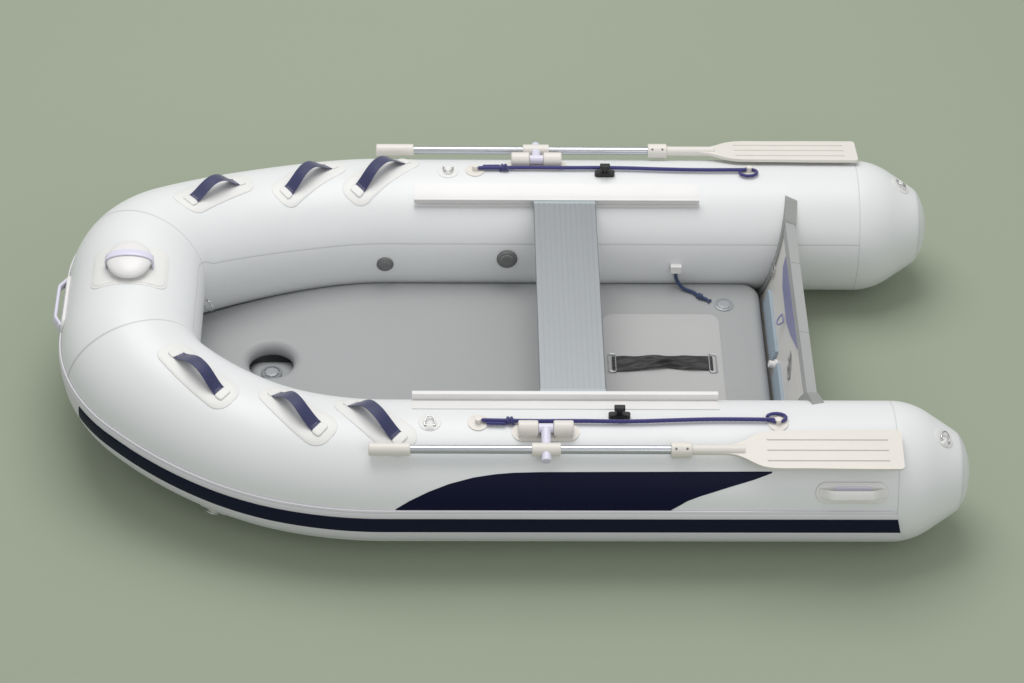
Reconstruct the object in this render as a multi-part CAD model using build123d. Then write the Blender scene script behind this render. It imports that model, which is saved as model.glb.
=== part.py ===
"""A 2.7 m inflatable boat: air tubes, air deck, raked transom, sliding bench and two stowed oars.

Millimetres. X points to the bow, Y to port, Z up. Z = 0 is the floor under the tubes, and
X = 0 is the middle of the length from the stern tips to the front of the bow handle.
"""
from build123d import *
import os
from math import asin, atan2, cos, degrees, hypot, pi, radians, sin, sqrt, tan

# ---- hull tubes
tube_length = 2700.0          # stern tips to the front of the bow tube
tube_radius = 208.0
tube_spacing = 1128.0         # between the two side tubes' centrelines
bow_curve_length = 775.0      # from where the side tubes start to turn in to the bow centreline
bow_piece_width = 268.0       # the straight piece across the bow, seam to seam
bow_first_turn = 37.0         # degrees turned by the long, easy part of the bow curve
bow_rise = 101.0              # how far the bow tube's axis stands above the side tubes'
rise_length = 557.0           # the stretch behind the bow axis over which the tubes rise
arc_steps = 3                 # arcs that each part of the bow curve is made of
arc_share = 0.985             # of each run that the arcs take up
cone_length = 235.0
cone_shoulder_radius = 200.0  # of the round shoulder where a tube runs into its cone
cone_slope = 33.4             # degrees, of the straight part of the cone
cone_end_radius = 115.0       # where the domed cap starts
skin_gap = 0.3                # between a tube and what is glued on it
patch_thickness = 1.6
patch_reach = 90.0            # how deep a patch's outline is carried round the tube

# ---- floor
deck_thickness = 60.0
deck_bottom = 72.0
deck_gap = 1.2                # between the deck's round edge and the tubes
deck_bow_gap = 2.5            # added to it step by step towards the bow
deck_edge_points = 9          # on the curve where the deck's edge follows the tubes' bend
deck_aft_station = 545.0
deck_corner_radius = 60.0
keel_hole_radius = 68.0
deck_valve_station = 663.0
deck_valve_y = -260.0
keel_hole_back = 411.0        # from the bow axis back to the hole over the keel's valve
sheet_thickness = 2.0
sheet_aft_station = 560.0
sheet_front_width = 206.6
sheet_front_margin = 55.0
deck_line_margin = 112.0      # behind the bow axis, where the sheet turns up to the bow tube
sheet_end_margin = 45.0
sheet_end_height = 112.0
sheet_angle = 126.0           # where the bottom sheet joins the tubes, degrees below outboard
keel_width = 150.0
keel_start_station = 600.0
keel_end_back = 332.0
ground_clearance = 8.0        # under the middle of the bottom sheet

# ---- transom
transom_station = 473.0       # inner face at the height of transom_top
transom_rake = 12.0
transom_thickness = 25.0
transom_top = 360.0
transom_shoulder_top = 392.0
transom_flat_width = 780.0    # the lower middle part of the top edge
transom_bottom = 34.0
edging_depth = 27.0
edging_wall = 3.0
edging_gap = 1.2
edging_joints = (-200.0, 120.0)
holder_width = 24.0
holder_cheek = 6.0
pad_thickness = 4.0
strip_thickness = 9.0
strip_height = 62.0
strip_bottom = 108.0
drain_gap = (12.0, 52.0)      # Y of the drain plug between the two strips

# ---- bench
bench_length = 900.0
bench_width = 195.0
bench_thickness = 20.0
bench_top = 408.0
bench_station = 1170.0
bench_cap_length = 24.0
groove_count = 11
groove_depth = 1.2
groove_width = 3.0
rail_start_station = 745.0
rail_turn_margin = 75.0       # from the rails' front ends to where the tubes turn in
rail_wall = 2.5
rail_lip = 14.0
rail_flange_angles = (103.0, 124.0)
slide_gap = 0.5

# ---- oars
rowlock_station = 1255.0
rowlock_axis_y = 617.0
rowlock_axis_z = 431.0
boss_diameter = 46.0
boss_length = 58.0
boss_space = 44.0             # between the two bosses
rowlock_plate = 3.0
tbar_diameter = 18.0
stem_diameter = 28.0
oar_axis_y = 686.0
oar_axis_z = 412.0
shaft_diameter = 26.0
sleeve_diameter = 39.0
sleeve_length = 83.0
oar_front_station = 1765.0
grip_length = 120.0
grip_diameter = 38.0
collar_station = 867.0
collar_length = 60.0
collar_diameter = 46.0
blade_start_station = 745.0
blade_end_station = 228.0
blade_width = 135.0
blade_tilt = 12.0             # degrees off level, outer edge down
blade_tip_corner = 12.0
ridge_spread = 36.0           # of the blade's outer ridges from its middle
ridge_width = 7.0
ridge_tip_margin = 42.0
ridge_root_margin = 125.0
blade_thickness = 9.0
blade_ridge = 3.0
pin_end_y = 724.0
fit_gap = 0.2
bearing_gap = 0.1             # round the T-pin's bar

# ---- rub rail and stripes
rail_angles = (-29.0, 11.0)   # of the rub rail on the tube, from level outboard
rub_thickness = 5.0
rail_gap = 0.95               # under the rub rail
rub_start_station = 205.0
stripe_angles = (-12.5, 3.0)
stripe_thickness = 1.0
stripe_bow_end = 150.0        # the stripe stops this far along the path before the bow seam
swoosh_angles = (11.6, 43.0)  # of the sweep's low and top edges on the tube
swoosh_tip_back = 30.0        # the tip, behind where the side tubes start to turn in
swoosh_crest_back = 410.0     # where its top edge starts to run level
swoosh_tail_station = 604.0
swoosh_tail_slant = 295.0     # the tail's low corner is this far ahead of its top corner
swoosh_thickness = 0.8

# ---- fittings on the tubes
strap_width = 40.0
strap_thickness = 3.0
strap_half_span = 95.0
strap_rise = 44.0
strap_lay = 45.0              # degrees off square across the boat, inner end forward
strap_backs = (931.0, 691.0, 353.0)   # from the bow seam back along the tube's axis
strap_patch_length = 296.0
strap_patch_width = 112.0
strap_patch_corner = 44.0
rope_diameter = 12.0
rope_lift = 5.0               # of the rope's underside over the tube, clear of the patches
rope_eye_stations = (1450.0, 580.0)
rope_eye_angle = 86.0
rope_eye_height = 16.0
tether_station = 814.0
tether_diameter = 12.0
tether_clip_reach = 20.0      # off the tube's side
tether_clip_height = 26.0
cleat_station = 1040.0
stern_handle_station = 371.0
stern_handle_angle = 27.0
handle_length = 212.0
handle_width = 64.0
handle_reach = 34.0
handle_plate = 5.0
handle_bar_thickness = 10.0
handle_end_inset = 12.0       # from the plate's end to the foot of the grip
grip_gap_length = 115.0
bow_handle_length = 236.0
bow_handle_angle = 12.0       # above level, let over the rub rail
bow_handle_reach = 32.0
bow_handle_plate = 8.5
bar_width = 30.0              # of the carry handles' grips
ring_wire = 5.0
ring_radius = 16.0
ring_patch_radius = 33.0
ring_backs = {1: 1095.0, -1: 1149.0}  # the port and starboard deck rings, back from the bow seam
ring_angle = 86.0
low_ring_back = 523.0
low_ring_angle = -38.6
inner_ring_back = 166.0
inner_ring_angle = 199.0
fairlead_patch_length = 240.0
fairlead_patch_width = 176.0
fairlead_foot = 4.0
dome_size = (136.0, 164.0, 27.0)  # the bow fitting's dome: along X, across, and up
dome_lift = 18.0              # of the dome's widest place over the top of the tube
dome_belly = 8.0              # how far the dome reaches below its widest place
neck_size = (84.0, 104.0)     # under the dome, along X and across
foot_margin = 16.0            # of the fitting's foot round the neck
belt_width = 26.0
belt_proud = 5.0              # how far the belt stands out from the dome
cone_ring_station = 92.0
cone_ring_angle = 84.0
inflation_station = 1355.0
inflation_radius = 29.0
relief_station = 1737.0
relief_radius = 24.0
valve_rim = 12.0
deck_valve_radius = 27.0
keel_valve_radius = 30.0
panel_stations = (684.0, 1050.0)  # of the patch on the deck
panel_width = 430.0
panel_corner = 35.0
panel_thickness = 1.5
tank_strap_stations = (716.0, 1028.0)
tank_strap_y = 18.0
tank_strap_width = 65.0
tank_strap_thickness = 4.0
tether_clip_length = 34.0
cleat_foot = (64.0, 18.0, 16.0)   # length, width and height
cleat_head = (32.0, 18.0, 14.0)
cleat_neck_radius = 8.0
cleat_head_height = 37.0

# ---- derived places
half_spacing = tube_spacing / 2
bow_overhang = ((tube_radius + bow_handle_reach) * cos(radians(bow_handle_angle))
                + bar_width / 2 * sin(radians(bow_handle_angle)) - tube_radius)
stern_x = -(tube_length + bow_overhang) / 2
bow_axis_x = stern_x + tube_length - tube_radius
bow_axis_z = tube_radius + bow_rise
turn_x = bow_axis_x - bow_curve_length
cone_x = stern_x + cone_length
SIDES = {"port": 1, "starboard": -1}


def station(distance):
    """X of a station measured forward from the stern tips."""
    return stern_x + distance


def rise_at(x):
    """How far the tube's axis has risen at x."""
    part = max(0.0, (x - (bow_axis_x - rise_length)) / rise_length)
    return bow_rise * part ** 2


def bow_radii(length, offset, turn):
    """The two radii of a bow curve that turns through turn and then the rest of 90 degrees."""
    s, c = sin(radians(turn)), cos(radians(turn))
    det = s * c - (1 - s) * (1 - c)
    return (length * c - offset * (1 - s)) / det, (offset * s - length * (1 - c)) / det


def tube_path(start_x, side=1):
    """Axis of a side tube from start_x forward to the bow seam, as runs joined by arcs."""
    first, second = bow_radii(bow_curve_length, half_spacing - bow_piece_width / 2, bow_first_turn)
    points, reaches = [Vector(start_x, side * half_spacing, tube_radius)], []
    x, y, heading = turn_x, half_spacing, 0.0
    for radius, turn in ((first, bow_first_turn), (second, 90 - bow_first_turn)):
        step = radians(turn / arc_steps)
        reach = radius * tan(step / 2)
        for _ in range(arc_steps):
            x, y = x + reach * cos(heading), y - reach * sin(heading)
            points.append(Vector(x, side * y, tube_radius + rise_at(x)))
            reaches.append(reach)
            heading += step
            x, y = x + reach * cos(heading), y - reach * sin(heading)
    points.append(Vector(bow_axis_x, side * bow_piece_width / 2, bow_axis_z))
    radii = []
    for before, corner, after, reach in zip(points, points[1:], points[2:], reaches):
        turn = radians((corner - before).get_angle(after - corner))
        radii.append(arc_share * reach / tan(turn / 2))
    return FilletPolyline(*points, radius=radii)


def side_tube(extra=0.0, side=1, start_x=cone_x):
    """A side tube, or the same shape with its radius grown by extra."""
    path = tube_path(start_x, side)
    ring = Plane(origin=path @ 0, z_dir=path % 0) * Circle(tube_radius + extra)
    return sweep(ring, path=path)


def bow_tube(extra=0.0):
    """The straight piece across the bow."""
    body = Cylinder(tube_radius + extra, bow_piece_width)
    return Pos(bow_axis_x, 0, bow_axis_z) * Rot(90, 0, 0) * body


def straight_tube(extra, start_x, end_x, side=1):
    """A cylinder round a side tube's straight stretch."""
    body = Cylinder(tube_radius + extra, end_x - start_x)
    return Pos((start_x + end_x) / 2, side * half_spacing, tube_radius) * Rot(0, 90, 0) * body


def seat(distance, angle, side, skew=0.0):
    """A plane on the port or starboard tube: Z outward, X along the tube turned by skew.

    distance runs along the tube's axis from its stern cone, and angle runs from level
    outboard over the top.
    """
    path = tube_path(cone_x, side)
    part = distance / path.length
    ahead, centre = path % part, path @ part
    level = Vector(0, 0, 1).cross(ahead).normalized() * side
    upward = ahead.cross(level) * side
    out = level * cos(radians(angle)) + upward * sin(radians(angle))
    plane = Plane(origin=centre + out * tube_radius, x_dir=ahead, z_dir=out)
    return plane.rotated((0, 0, skew * side))


def shell(side, thickness, gap=skin_gap):
    """The thin layer on a side tube that patches are cut from."""
    key = (side, thickness, gap)
    if key not in SHELLS:
        path = tube_path(cone_x, side)
        ring = Circle(tube_radius + gap + thickness) - Circle(tube_radius + gap)
        SHELLS[key] = sweep(Plane(origin=path @ 0, z_dir=path % 0) * ring, path=path)
    return SHELLS[key]


SHELLS = {}


def patch(distance, angle, side, outline, thickness=patch_thickness, skew=0.0):
    """An outline laid on a side tube as a patch."""
    prism = seat(distance, angle, side, skew) * extrude(outline, amount=patch_reach, both=True)
    return prism & shell(side, thickness)


def clear_of_tube(solid, side, gap=skin_gap):
    """solid with the space of a side tube cut away."""
    return solid - side_tube(gap, side)


def save(name, shape):
    """Write one node and print how many solids it has."""
    shape.label = name
    export_step(shape, f"parts/{name}.step")
    print(f"{name}: {len(shape.solids())} solids, {shape.volume / 1000:.1f} cm3")


def group(solids):
    """Several solids as one node."""
    found = []
    for item in solids:
        found.extend(item.solids())
    return Compound(children=found)


# ---- hull tubes and their cones
def stern_cone(side, extra=0.0):
    """The tapered stern end of a side tube: a round shoulder, a straight cone and a domed cap."""
    turn, shoulder = radians(cone_slope), cone_shoulder_radius + extra
    low = tube_radius - cone_shoulder_radius

    def on_shoulder(angle):
        return (cone_x - shoulder * sin(angle), low + shoulder * cos(angle))

    end_x, end_radius = on_shoulder(turn)
    cap_x = end_x - (end_radius - cone_end_radius) / tan(turn)
    depth = cap_x - (stern_x - extra)
    ball = (cone_end_radius ** 2 + depth ** 2) / (2 * depth)
    half_turn = asin(cone_end_radius / ball) / 2
    cap_mid = (stern_x - extra + ball * (1 - cos(half_turn)), ball * sin(half_turn))
    with BuildSketch(Plane.XZ) as half:
        with BuildLine():
            Line((cone_x, 0), (cone_x, tube_radius + extra))
            ThreePointArc((cone_x, tube_radius + extra), on_shoulder(turn / 2), (end_x, end_radius))
            Line((end_x, end_radius), (cap_x, cone_end_radius))
            ThreePointArc((cap_x, cone_end_radius), cap_mid, (stern_x - extra, 0))
            Line((stern_x - extra, 0), (cone_x, 0))
        make_face()
    return Pos(0, side * half_spacing, tube_radius) * revolve(half.sketch, axis=Axis.X)


# ---- floor
def sheet_outline(half_width, aft_x, front_x, front_width):
    """The bottom sheet's plan: straight sides and a bow end that follows the tubes."""
    tube_first, _ = bow_radii(bow_curve_length, half_spacing - bow_piece_width / 2, bow_first_turn)
    first = tube_first - (half_spacing - half_width)
    length, front = front_x - turn_x, front_width / 2
    across = first - (half_width - front)
    second = (first ** 2 - length ** 2 - across ** 2) / (2 * (first - length))
    angle = atan2(length - second, across)

    def on_first(turned):
        return (turn_x + first * sin(turned), half_width - first * (1 - cos(turned)))

    rest = (angle + pi / 2) / 2
    nose_mid = (front_x - second + second * sin(rest), front + second * cos(rest))
    with BuildSketch() as plan:
        with BuildLine():
            Line((aft_x, 0), (aft_x, half_width))
            Line((aft_x, half_width), (turn_x, half_width))
            ThreePointArc((turn_x, half_width), on_first(angle / 2), on_first(angle))
            ThreePointArc(on_first(angle), nose_mid, (front_x, front))
            Line((front_x, front), (front_x, 0))
            Line((front_x, 0), (aft_x, 0))
        make_face()
    return plan.sketch + mirror(plan.sketch, Plane.XZ)


def deck_outline():
    """The deck's plan: it reaches further under the tubes as they turn in and rise."""
    edge = deck_thickness / 2
    middle, reach = deck_bottom + edge, tube_radius + edge + deck_gap
    path = tube_path(turn_x)
    bend = []
    for n in range(deck_edge_points):
        part = n / (deck_edge_points - 1)
        axis, ahead = path @ part, path % part
        inward = Vector(ahead.Y, -ahead.X, 0)
        above = (axis.Z - middle) * inward.length
        away = sqrt((reach + deck_bow_gap * part) ** 2 - above ** 2) - edge
        bend.append(axis + inward.normalized() * away)
    bend = [(point.X, point.Y) for point in bend]
    aft, half_width = station(deck_aft_station), bend[0][1]
    with BuildSketch() as plan:
        with BuildLine():
            Line((aft, 0), (aft, half_width))
            Line((aft, half_width), bend[0])
            Spline(*bend, tangents=((1, 0), (0, -1)))
            Line(bend[-1], (bend[-1][0], 0))
            Line((bend[-1][0], 0), (aft, 0))
        make_face()
        fillet([v for v in plan.vertices() if v.X < aft + 1 and v.Y > 1], deck_corner_radius)
    return plan.sketch + mirror(plan.sketch, Plane.XZ)


def air_deck():
    """The stiff inflated floor, with round edges and the round-edged hole over the keel's valve."""
    slab = Pos(0, 0, deck_bottom) * extrude(deck_outline(), amount=deck_thickness, dir=(0, 0, 1))
    slab -= Pos(bow_axis_x - keel_hole_back, 0, deck_bottom) * Cylinder(keel_hole_radius, deck_thickness * 3)
    rims = slab.faces().filter_by(Axis.Z).edges()
    return fillet(rims, deck_thickness / 2 * 0.97)


def sheet_edge():
    """Y and Z of the bottom sheet's edge on the side tube."""
    reach = tube_radius + skin_gap
    return (half_spacing + reach * cos(radians(180 - sheet_angle)) * -1,
            tube_radius - reach * sin(radians(180 - sheet_angle)))


def sheet_section(x, edge_z, middle_z):
    """The bottom sheet's cross-section at x: a V with a flat under the keel."""
    edge_y, _ = sheet_edge()
    flat = keel_width * 0.45
    low = [(-edge_y, edge_z), (-flat, middle_z), (flat, middle_z), (edge_y, edge_z)]
    points = [(y, z + sheet_thickness) for y, z in low] + low[::-1]
    return make_face(Plane.YZ.offset(x) * Polyline(*points, close=True))


def bottom_sheet():
    """The fabric bottom: a shallow V round the keel that rises to the bow tube."""
    edge_y, edge_z = sheet_edge()
    under_deck = deck_bottom - sheet_thickness - 4
    keel_end = bow_axis_x - keel_end_back + 20
    sections = [(station(sheet_aft_station), edge_z, ground_clearance),
                (bow_axis_x - rise_length, edge_z, ground_clearance),
                (keel_end, edge_z + rise_at(keel_end), ground_clearance),
                (bow_axis_x - deck_line_margin, under_deck, under_deck),
                (bow_axis_x - sheet_end_margin, sheet_end_height, sheet_end_height)]
    sheet = loft([sheet_section(*section) for section in sections], ruled=True)
    front = bow_axis_x - sheet_front_margin
    plan = sheet_outline(edge_y, station(sheet_aft_station) - 10, front, sheet_front_width)
    return clear_of_tubes(sheet & extrude(plan, amount=2 * tube_radius, dir=(0, 0, 1)))


def clear_of_tubes(solid, gap=skin_gap):
    """solid with the space of all the tubes cut away."""
    return solid - side_tube(gap, 1) - side_tube(gap, -1) - bow_tube(gap)


def keel():
    """The keel's air tube, pressed flat between the bottom sheet and the deck."""
    start, end = station(keel_start_station), bow_axis_x - keel_end_back
    low = ground_clearance + sheet_thickness + skin_gap
    high = deck_bottom - skin_gap
    oval = Plane(origin=(start, 0, (low + high) / 2), x_dir=(0, 1, 0), z_dir=(1, 0, 0))
    body = extrude(oval * Ellipse(keel_width / 2, (high - low) / 2), amount=end - start)
    return fillet(body.faces().filter_by(Axis.X).edges(), 12)


# ---- transom: drawn flat, Y across and Z up the slope, then leaned aft
def lean(solid):
    """Put a piece drawn on the transom's inner face into its raked place."""
    foot = station(transom_station) + transom_top * tan(radians(transom_rake))
    return Pos(foot, 0, 0) * Rot(0, -transom_rake, 0) * solid


def slope(height):
    """Length along the transom's slope up to a height above the floor."""
    return height / cos(radians(transom_rake))


def board_outline(grow=0.0):
    """The transom's outline: a low middle, raised shoulders over the tubes."""
    low, top, shoulder = slope(transom_bottom), slope(transom_top) + grow, slope(transom_shoulder_top) + grow
    middle, outer = transom_flat_width / 2, half_spacing - 40
    points = [(-outer, low), (outer, low), (outer, shoulder), (middle + 70, shoulder),
              (middle, top), (-middle, top), (-middle - 70, shoulder), (-outer, shoulder)]
    return make_face(Plane.YZ * Polyline(*points, close=True))


def slab_of(outline, start, thickness):
    """An outline on the transom's face as a plate from start aft."""
    return Pos(-start - thickness, 0, 0) * extrude(outline, amount=thickness, dir=(1, 0, 0))


def trim_to_tubes(solid, gap=skin_gap):
    """Cut the side tubes' straight stretch out of a transom piece."""
    reach = (cone_x, station(keel_start_station) + 400)
    return solid - straight_tube(gap, *reach, 1) - straight_tube(gap, *reach, -1)


def transom_board():
    """The rigid stern board."""
    return trim_to_tubes(lean(slab_of(board_outline(), 0, transom_thickness)), holder_gap())


def holder_gap():
    """The board stops this far from the tubes, inside the holders."""
    return skin_gap * 2


def transom_edging():
    """The grey edging over the top edge, in three lengths."""
    outer = slab_of(board_outline(edging_wall), -edging_wall, transom_thickness + 2 * edging_wall)
    inner = slab_of(board_outline(skin_gap), -skin_gap, transom_thickness + 2 * skin_gap)
    below = slab_of(board_outline(-edging_depth), -50, transom_thickness + 100)
    band = outer - inner - below
    lengths = []
    limits = (-half_spacing, *edging_joints, half_spacing)
    for start, end in zip(limits, limits[1:]):
        box = Box(400, end - start - edging_gap, 900)
        lengths.append(band & Pos(0, (start + end) / 2, 200) * box)
    return group(trim_to_tubes(lean(piece), holder_width + skin_gap * 2) for piece in lengths)


def transom_holders():
    """The grey channels on the side tubes that the board's ends stand in, open at the foot."""
    wall = holder_cheek + skin_gap
    outer = slab_of(board_outline(wall), -wall, transom_thickness + 2 * wall)
    inner = slab_of(board_outline(skin_gap), -skin_gap, transom_thickness + 2 * skin_gap)
    channel = lean(outer - inner)
    channels = []
    for side in SIDES.values():
        band = straight_tube(holder_width, cone_x, cone_x + 600, side)
        channels.append(trim_to_tubes(channel & band))
    return group(channels)


def pad(points, start):
    """A pad on the transom's inner or aft face."""
    outline = make_face(Plane.YZ * Polyline(*[(y, slope(z)) for y, z in points], close=True))
    return lean(slab_of(outline, start, pad_thickness))


def foot_strips():
    """The two stiffening strips along the transom's foot, either side of the drain plug."""
    first, last = drain_gap
    reach = 290.0
    spans = ((-reach, first - 12), (last, reach))
    strips = []
    for start, end in spans:
        body = Pos(strip_thickness / 2 + skin_gap, (start + end) / 2, slope(strip_bottom + strip_height / 2))
        strips.append(lean(body * Box(strip_thickness, end - start, strip_height)))
    return group(strips)


def drain_plug():
    """The drain plug in the transom's foot."""
    middle = sum(drain_gap) / 2 - 6
    flange = Pos(4 + skin_gap, 0, 0) * Rot(0, 90, 0) * Cylinder(17, 8)
    knob = Pos(16 + skin_gap, 0, 0) * Rot(0, 90, 0) * Cylinder(11, 16)
    return lean(Pos(0, middle, slope(strip_bottom + 30)) * (flange + knob))


# ---- bench and its rails
def plank_ends():
    """Y of the plank's end and of the end caps' outer faces."""
    return bench_length / 2 - bench_cap_length, bench_length / 2


def bench_plank():
    """The grooved aluminium plank."""
    end, _ = plank_ends()
    body = Box(bench_width, 2 * end, bench_thickness)
    body = fillet(body.edges().filter_by(Axis.Y), 3)
    pitch = bench_width / (groove_count + 1)
    for n in range(groove_count):
        x = (n - (groove_count - 1) / 2) * pitch
        body -= Pos(x, 0, bench_thickness / 2) * Box(groove_width, 2 * end, 2 * groove_depth)
    return Pos(station(bench_station), 0, bench_top - bench_thickness / 2) * body


def bench_caps():
    """The plank's two end caps, which run in the rails."""
    inner, outer = plank_ends()
    cap = fillet(Box(bench_width, outer - inner, bench_thickness).edges().filter_by(Axis.Y), 3)
    y, z = (inner + outer) / 2, bench_top - bench_thickness / 2
    return group(Pos(station(bench_station), side * y, z) * cap for side in SIDES.values())


def seat_rail(side):
    """A seat rail: a flange glued on the tube and a channel that takes the bench's end."""
    web = bench_length / 2 + slide_gap
    low = bench_top - bench_thickness - slide_gap
    high = bench_top + slide_gap
    start, end = station(rail_start_station), turn_x - rail_turn_margin
    length = end - start
    x = (start + end) / 2
    parts = [Pos(0, web + rail_wall / 2, (low + high) / 2) * Box(length, rail_wall, high - low + 2 * rail_wall)]
    for z in (low - rail_wall / 2, high + rail_wall / 2):
        parts.append(Pos(0, web + rail_wall - rail_lip / 2, z) * Box(length, rail_lip, rail_wall))
    channel = Pos(x, 0, 0) * (parts[0] + parts[1] + parts[2])
    if side < 0:
        channel = mirror(channel, Plane.XZ)
    flange = straight_tube(skin_gap + rail_wall, start, end, side)
    first, last = (radians(angle) for angle in rail_flange_angles)
    reach = 2 * tube_radius
    wedge = [(half_spacing, tube_radius)]
    for angle in (first, last):
        wedge.append((half_spacing + reach * cos(angle), tube_radius + reach * sin(angle)))
    cutter = Pos(start, 0, 0) * extrude(make_face(Plane.YZ * Polyline(*wedge, close=True)), amount=length)
    if side < 0:
        cutter = mirror(cutter, Plane.XZ)
    whole = channel + (flange & cutter)
    return whole - straight_tube(skin_gap, start - 10, end + 10, side)


# ---- oars and rowlocks, drawn on the port side and mirrored
def to_side(solid, side):
    """A port piece as it is, or mirrored to starboard."""
    return solid if side > 0 else mirror(solid, Plane.XZ)


def along_x(radius, start, end, y, z):
    """A cylinder along X from start to end."""
    return Pos((start + end) / 2, y, z) * Rot(0, 90, 0) * Cylinder(radius, end - start)


def rowlock_base(side):
    """The base plate on the tube and its two barrel bosses."""
    x = station(rowlock_station)
    angle = degrees(atan2(rowlock_axis_z - tube_radius, rowlock_axis_y - half_spacing))
    half = boss_space / 2
    parts = []
    for way in (1, -1):
        middle = x + way * (half + boss_length / 2)
        boss = along_x(boss_diameter / 2, middle - boss_length / 2, middle + boss_length / 2,
                       rowlock_axis_y, rowlock_axis_z)
        parts.append(fillet(boss.edges(), 5))
        foot = Box(boss_length * 0.8, boss_diameter * 0.9, 30)
        turn = Pos(middle, half_spacing, tube_radius) * Rot(angle - 90, 0, 0)
        parts.append(turn * Pos(0, 0, tube_radius + 14) * foot)
    plate = extrude(SlotOverall(2 * (half + boss_length) + 36, 62), amount=30, both=True)
    plate = Pos(x, half_spacing, tube_radius) * Rot(angle - 90, 0, 0) * Pos(0, 0, tube_radius) * plate
    reach = half + boss_length + 40
    band = straight_tube(skin_gap + rowlock_plate, x - reach, x + reach)
    parts.append(plate & band)
    base = parts[0]
    for item in parts[1:]:
        base += item
    base -= straight_tube(skin_gap, x - reach, x + reach)
    base -= along_x(tbar_diameter / 2 + bearing_gap, x - reach, x + reach, rowlock_axis_y, rowlock_axis_z)
    return to_side(base, side)


def oar_pin(side):
    """The T-pin: its bar turns in the bosses, and its stem carries the oar's sleeve."""
    x = station(rowlock_station)
    reach = boss_space / 2 + boss_length - 2
    bar = along_x(tbar_diameter / 2, x - reach, x + reach, rowlock_axis_y, rowlock_axis_z)
    start = Vector(x, rowlock_axis_y, rowlock_axis_z)
    tilt = degrees(atan2(oar_axis_z - rowlock_axis_z, oar_axis_y - rowlock_axis_y))
    length = (pin_end_y - rowlock_axis_y) / cos(radians(tilt))
    stem = Pos(start) * Rot(tilt, 0, 0) * Rot(-90, 0, 0) * Pos(0, 0, length / 2)
    stem = stem * fillet(Cylinder(stem_diameter / 2, length).edges().sort_by(Axis.Z)[-1], 3)
    hub = along_x(stem_diameter / 2, x - boss_space / 2 + 1, x + boss_space / 2 - 1,
                  rowlock_axis_y, rowlock_axis_z)
    hole = along_x(sleeve_diameter / 2 + fit_gap, x - 60, x + 60, oar_axis_y, oar_axis_z)
    return to_side(group([(bar + hub + stem) - hole]), side)


def oar_sleeve(side):
    """The sleeve on the oar's shaft at the rowlock."""
    x, half = station(rowlock_station), sleeve_length / 2
    body = along_x(sleeve_diameter / 2, x - half, x + half, oar_axis_y, oar_axis_z)
    body = chamfer(body.edges(), 1.5)
    bore = along_x(shaft_diameter / 2 + fit_gap, x - 100, x + 100, oar_axis_y, oar_axis_z)
    return to_side(body - bore, side)


def oar_shaft(side):
    """The aluminium shaft, from inside the grip to inside the collar."""
    start, end = station(collar_station), station(oar_front_station - grip_length)
    return to_side(along_x(shaft_diameter / 2, start, end, oar_axis_y, oar_axis_z), side)


def oar_grip(side):
    """The moulded grip, thicker in the middle."""
    end = station(oar_front_station)
    start = end - grip_length
    body = along_x(grip_diameter / 2, start, end, oar_axis_y, oar_axis_z)
    return to_side(fillet(body.edges(), 5), side)


def oar_collar(side):
    """The collar that joins the shaft and the blade."""
    x, half = station(collar_station), collar_length / 2
    body = along_x(collar_diameter / 2, x - half, x + half, oar_axis_y, oar_axis_z)
    body = chamfer(body.edges(), 2)
    bore = along_x(shaft_diameter / 2 + fit_gap, x, x + 100, oar_axis_y, oar_axis_z)
    return to_side(body - bore, side)


def oar_blade(side):
    """The blade with its round neck and three ridges."""
    neck_end = station(collar_station) - collar_length / 2
    neck_start = station(blade_start_station) - 60
    tip = station(blade_end_station)
    start = station(blade_start_station)
    half, root = blade_width / 2, shaft_diameter / 2 + 2
    corner, cut = blade_tip_corner, blade_tip_corner * (1 - sqrt(0.5))
    with BuildSketch() as flat:
        with BuildLine():
            Line((start + 40, root), (start, root))
            Spline((start, root), (start - 110, half * 0.86), (start - 190, half * 0.97), (tip + corner, half),
                   tangents=((-1, 0), (-1, 0)))
            ThreePointArc((tip + corner, half), (tip + cut, half - cut), (tip, half - corner))
            Line((tip, half - corner), (tip, 0))
            Line((tip, 0), (start + 40, 0))
            Line((start + 40, 0), (start + 40, root))
        make_face()
    plan = flat.sketch + mirror(flat.sketch, Plane.XZ)
    body = extrude(plan, amount=blade_thickness / 2, both=True)
    ridge_start, ridge_end = tip + ridge_tip_margin, start - ridge_root_margin
    for y in (-ridge_spread, 0.0, ridge_spread):
        ridge = Box(ridge_end - ridge_start, ridge_width, blade_thickness + 2 * blade_ridge)
        body += Pos((ridge_start + ridge_end) / 2, y, 0) * ridge
    body += along_x(root, neck_start, neck_end, 0, 0)
    return to_side(Pos(0, oar_axis_y, oar_axis_z) * Rot(-blade_tilt, 0, 0) * body, side)


# ---- rub rail and its stripes
def rail_band(side, angles, inner, outer, start):
    """A band along the outside of a side tube, swept from start to the bow seam."""
    first, last = (radians(angle) for angle in angles)
    middle = (first + last) / 2

    def at(radius, angle):
        return (start, side * (half_spacing + radius * cos(angle)), tube_radius + radius * sin(angle))

    edges = [ThreePointArc(at(outer, first), at(outer, middle), at(outer, last)),
             Line(at(outer, last), at(inner, last)),
             ThreePointArc(at(inner, last), at(inner, middle), at(inner, first)),
             Line(at(inner, first), at(outer, first))]
    path = tube_path(start, side)
    return sweep(make_face(edges), path=path, binormal=Pos(0, 0, tube_radius) * path)


def bow_band(angles, inner, outer):
    """The same band across the bow."""
    ring = bow_tube(outer - tube_radius) - bow_tube(inner - tube_radius)
    first, last = (radians(angle) for angle in angles)
    reach = 2 * tube_radius
    wedge = [(bow_axis_x, bow_axis_z)]
    for angle in (first, last):
        wedge.append((bow_axis_x + reach * cos(angle), bow_axis_z + reach * sin(angle)))
    cutter = extrude(make_face(Plane.XZ * Polyline(*wedge, close=True)), amount=bow_piece_width, both=True)
    return ring & cutter


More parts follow.
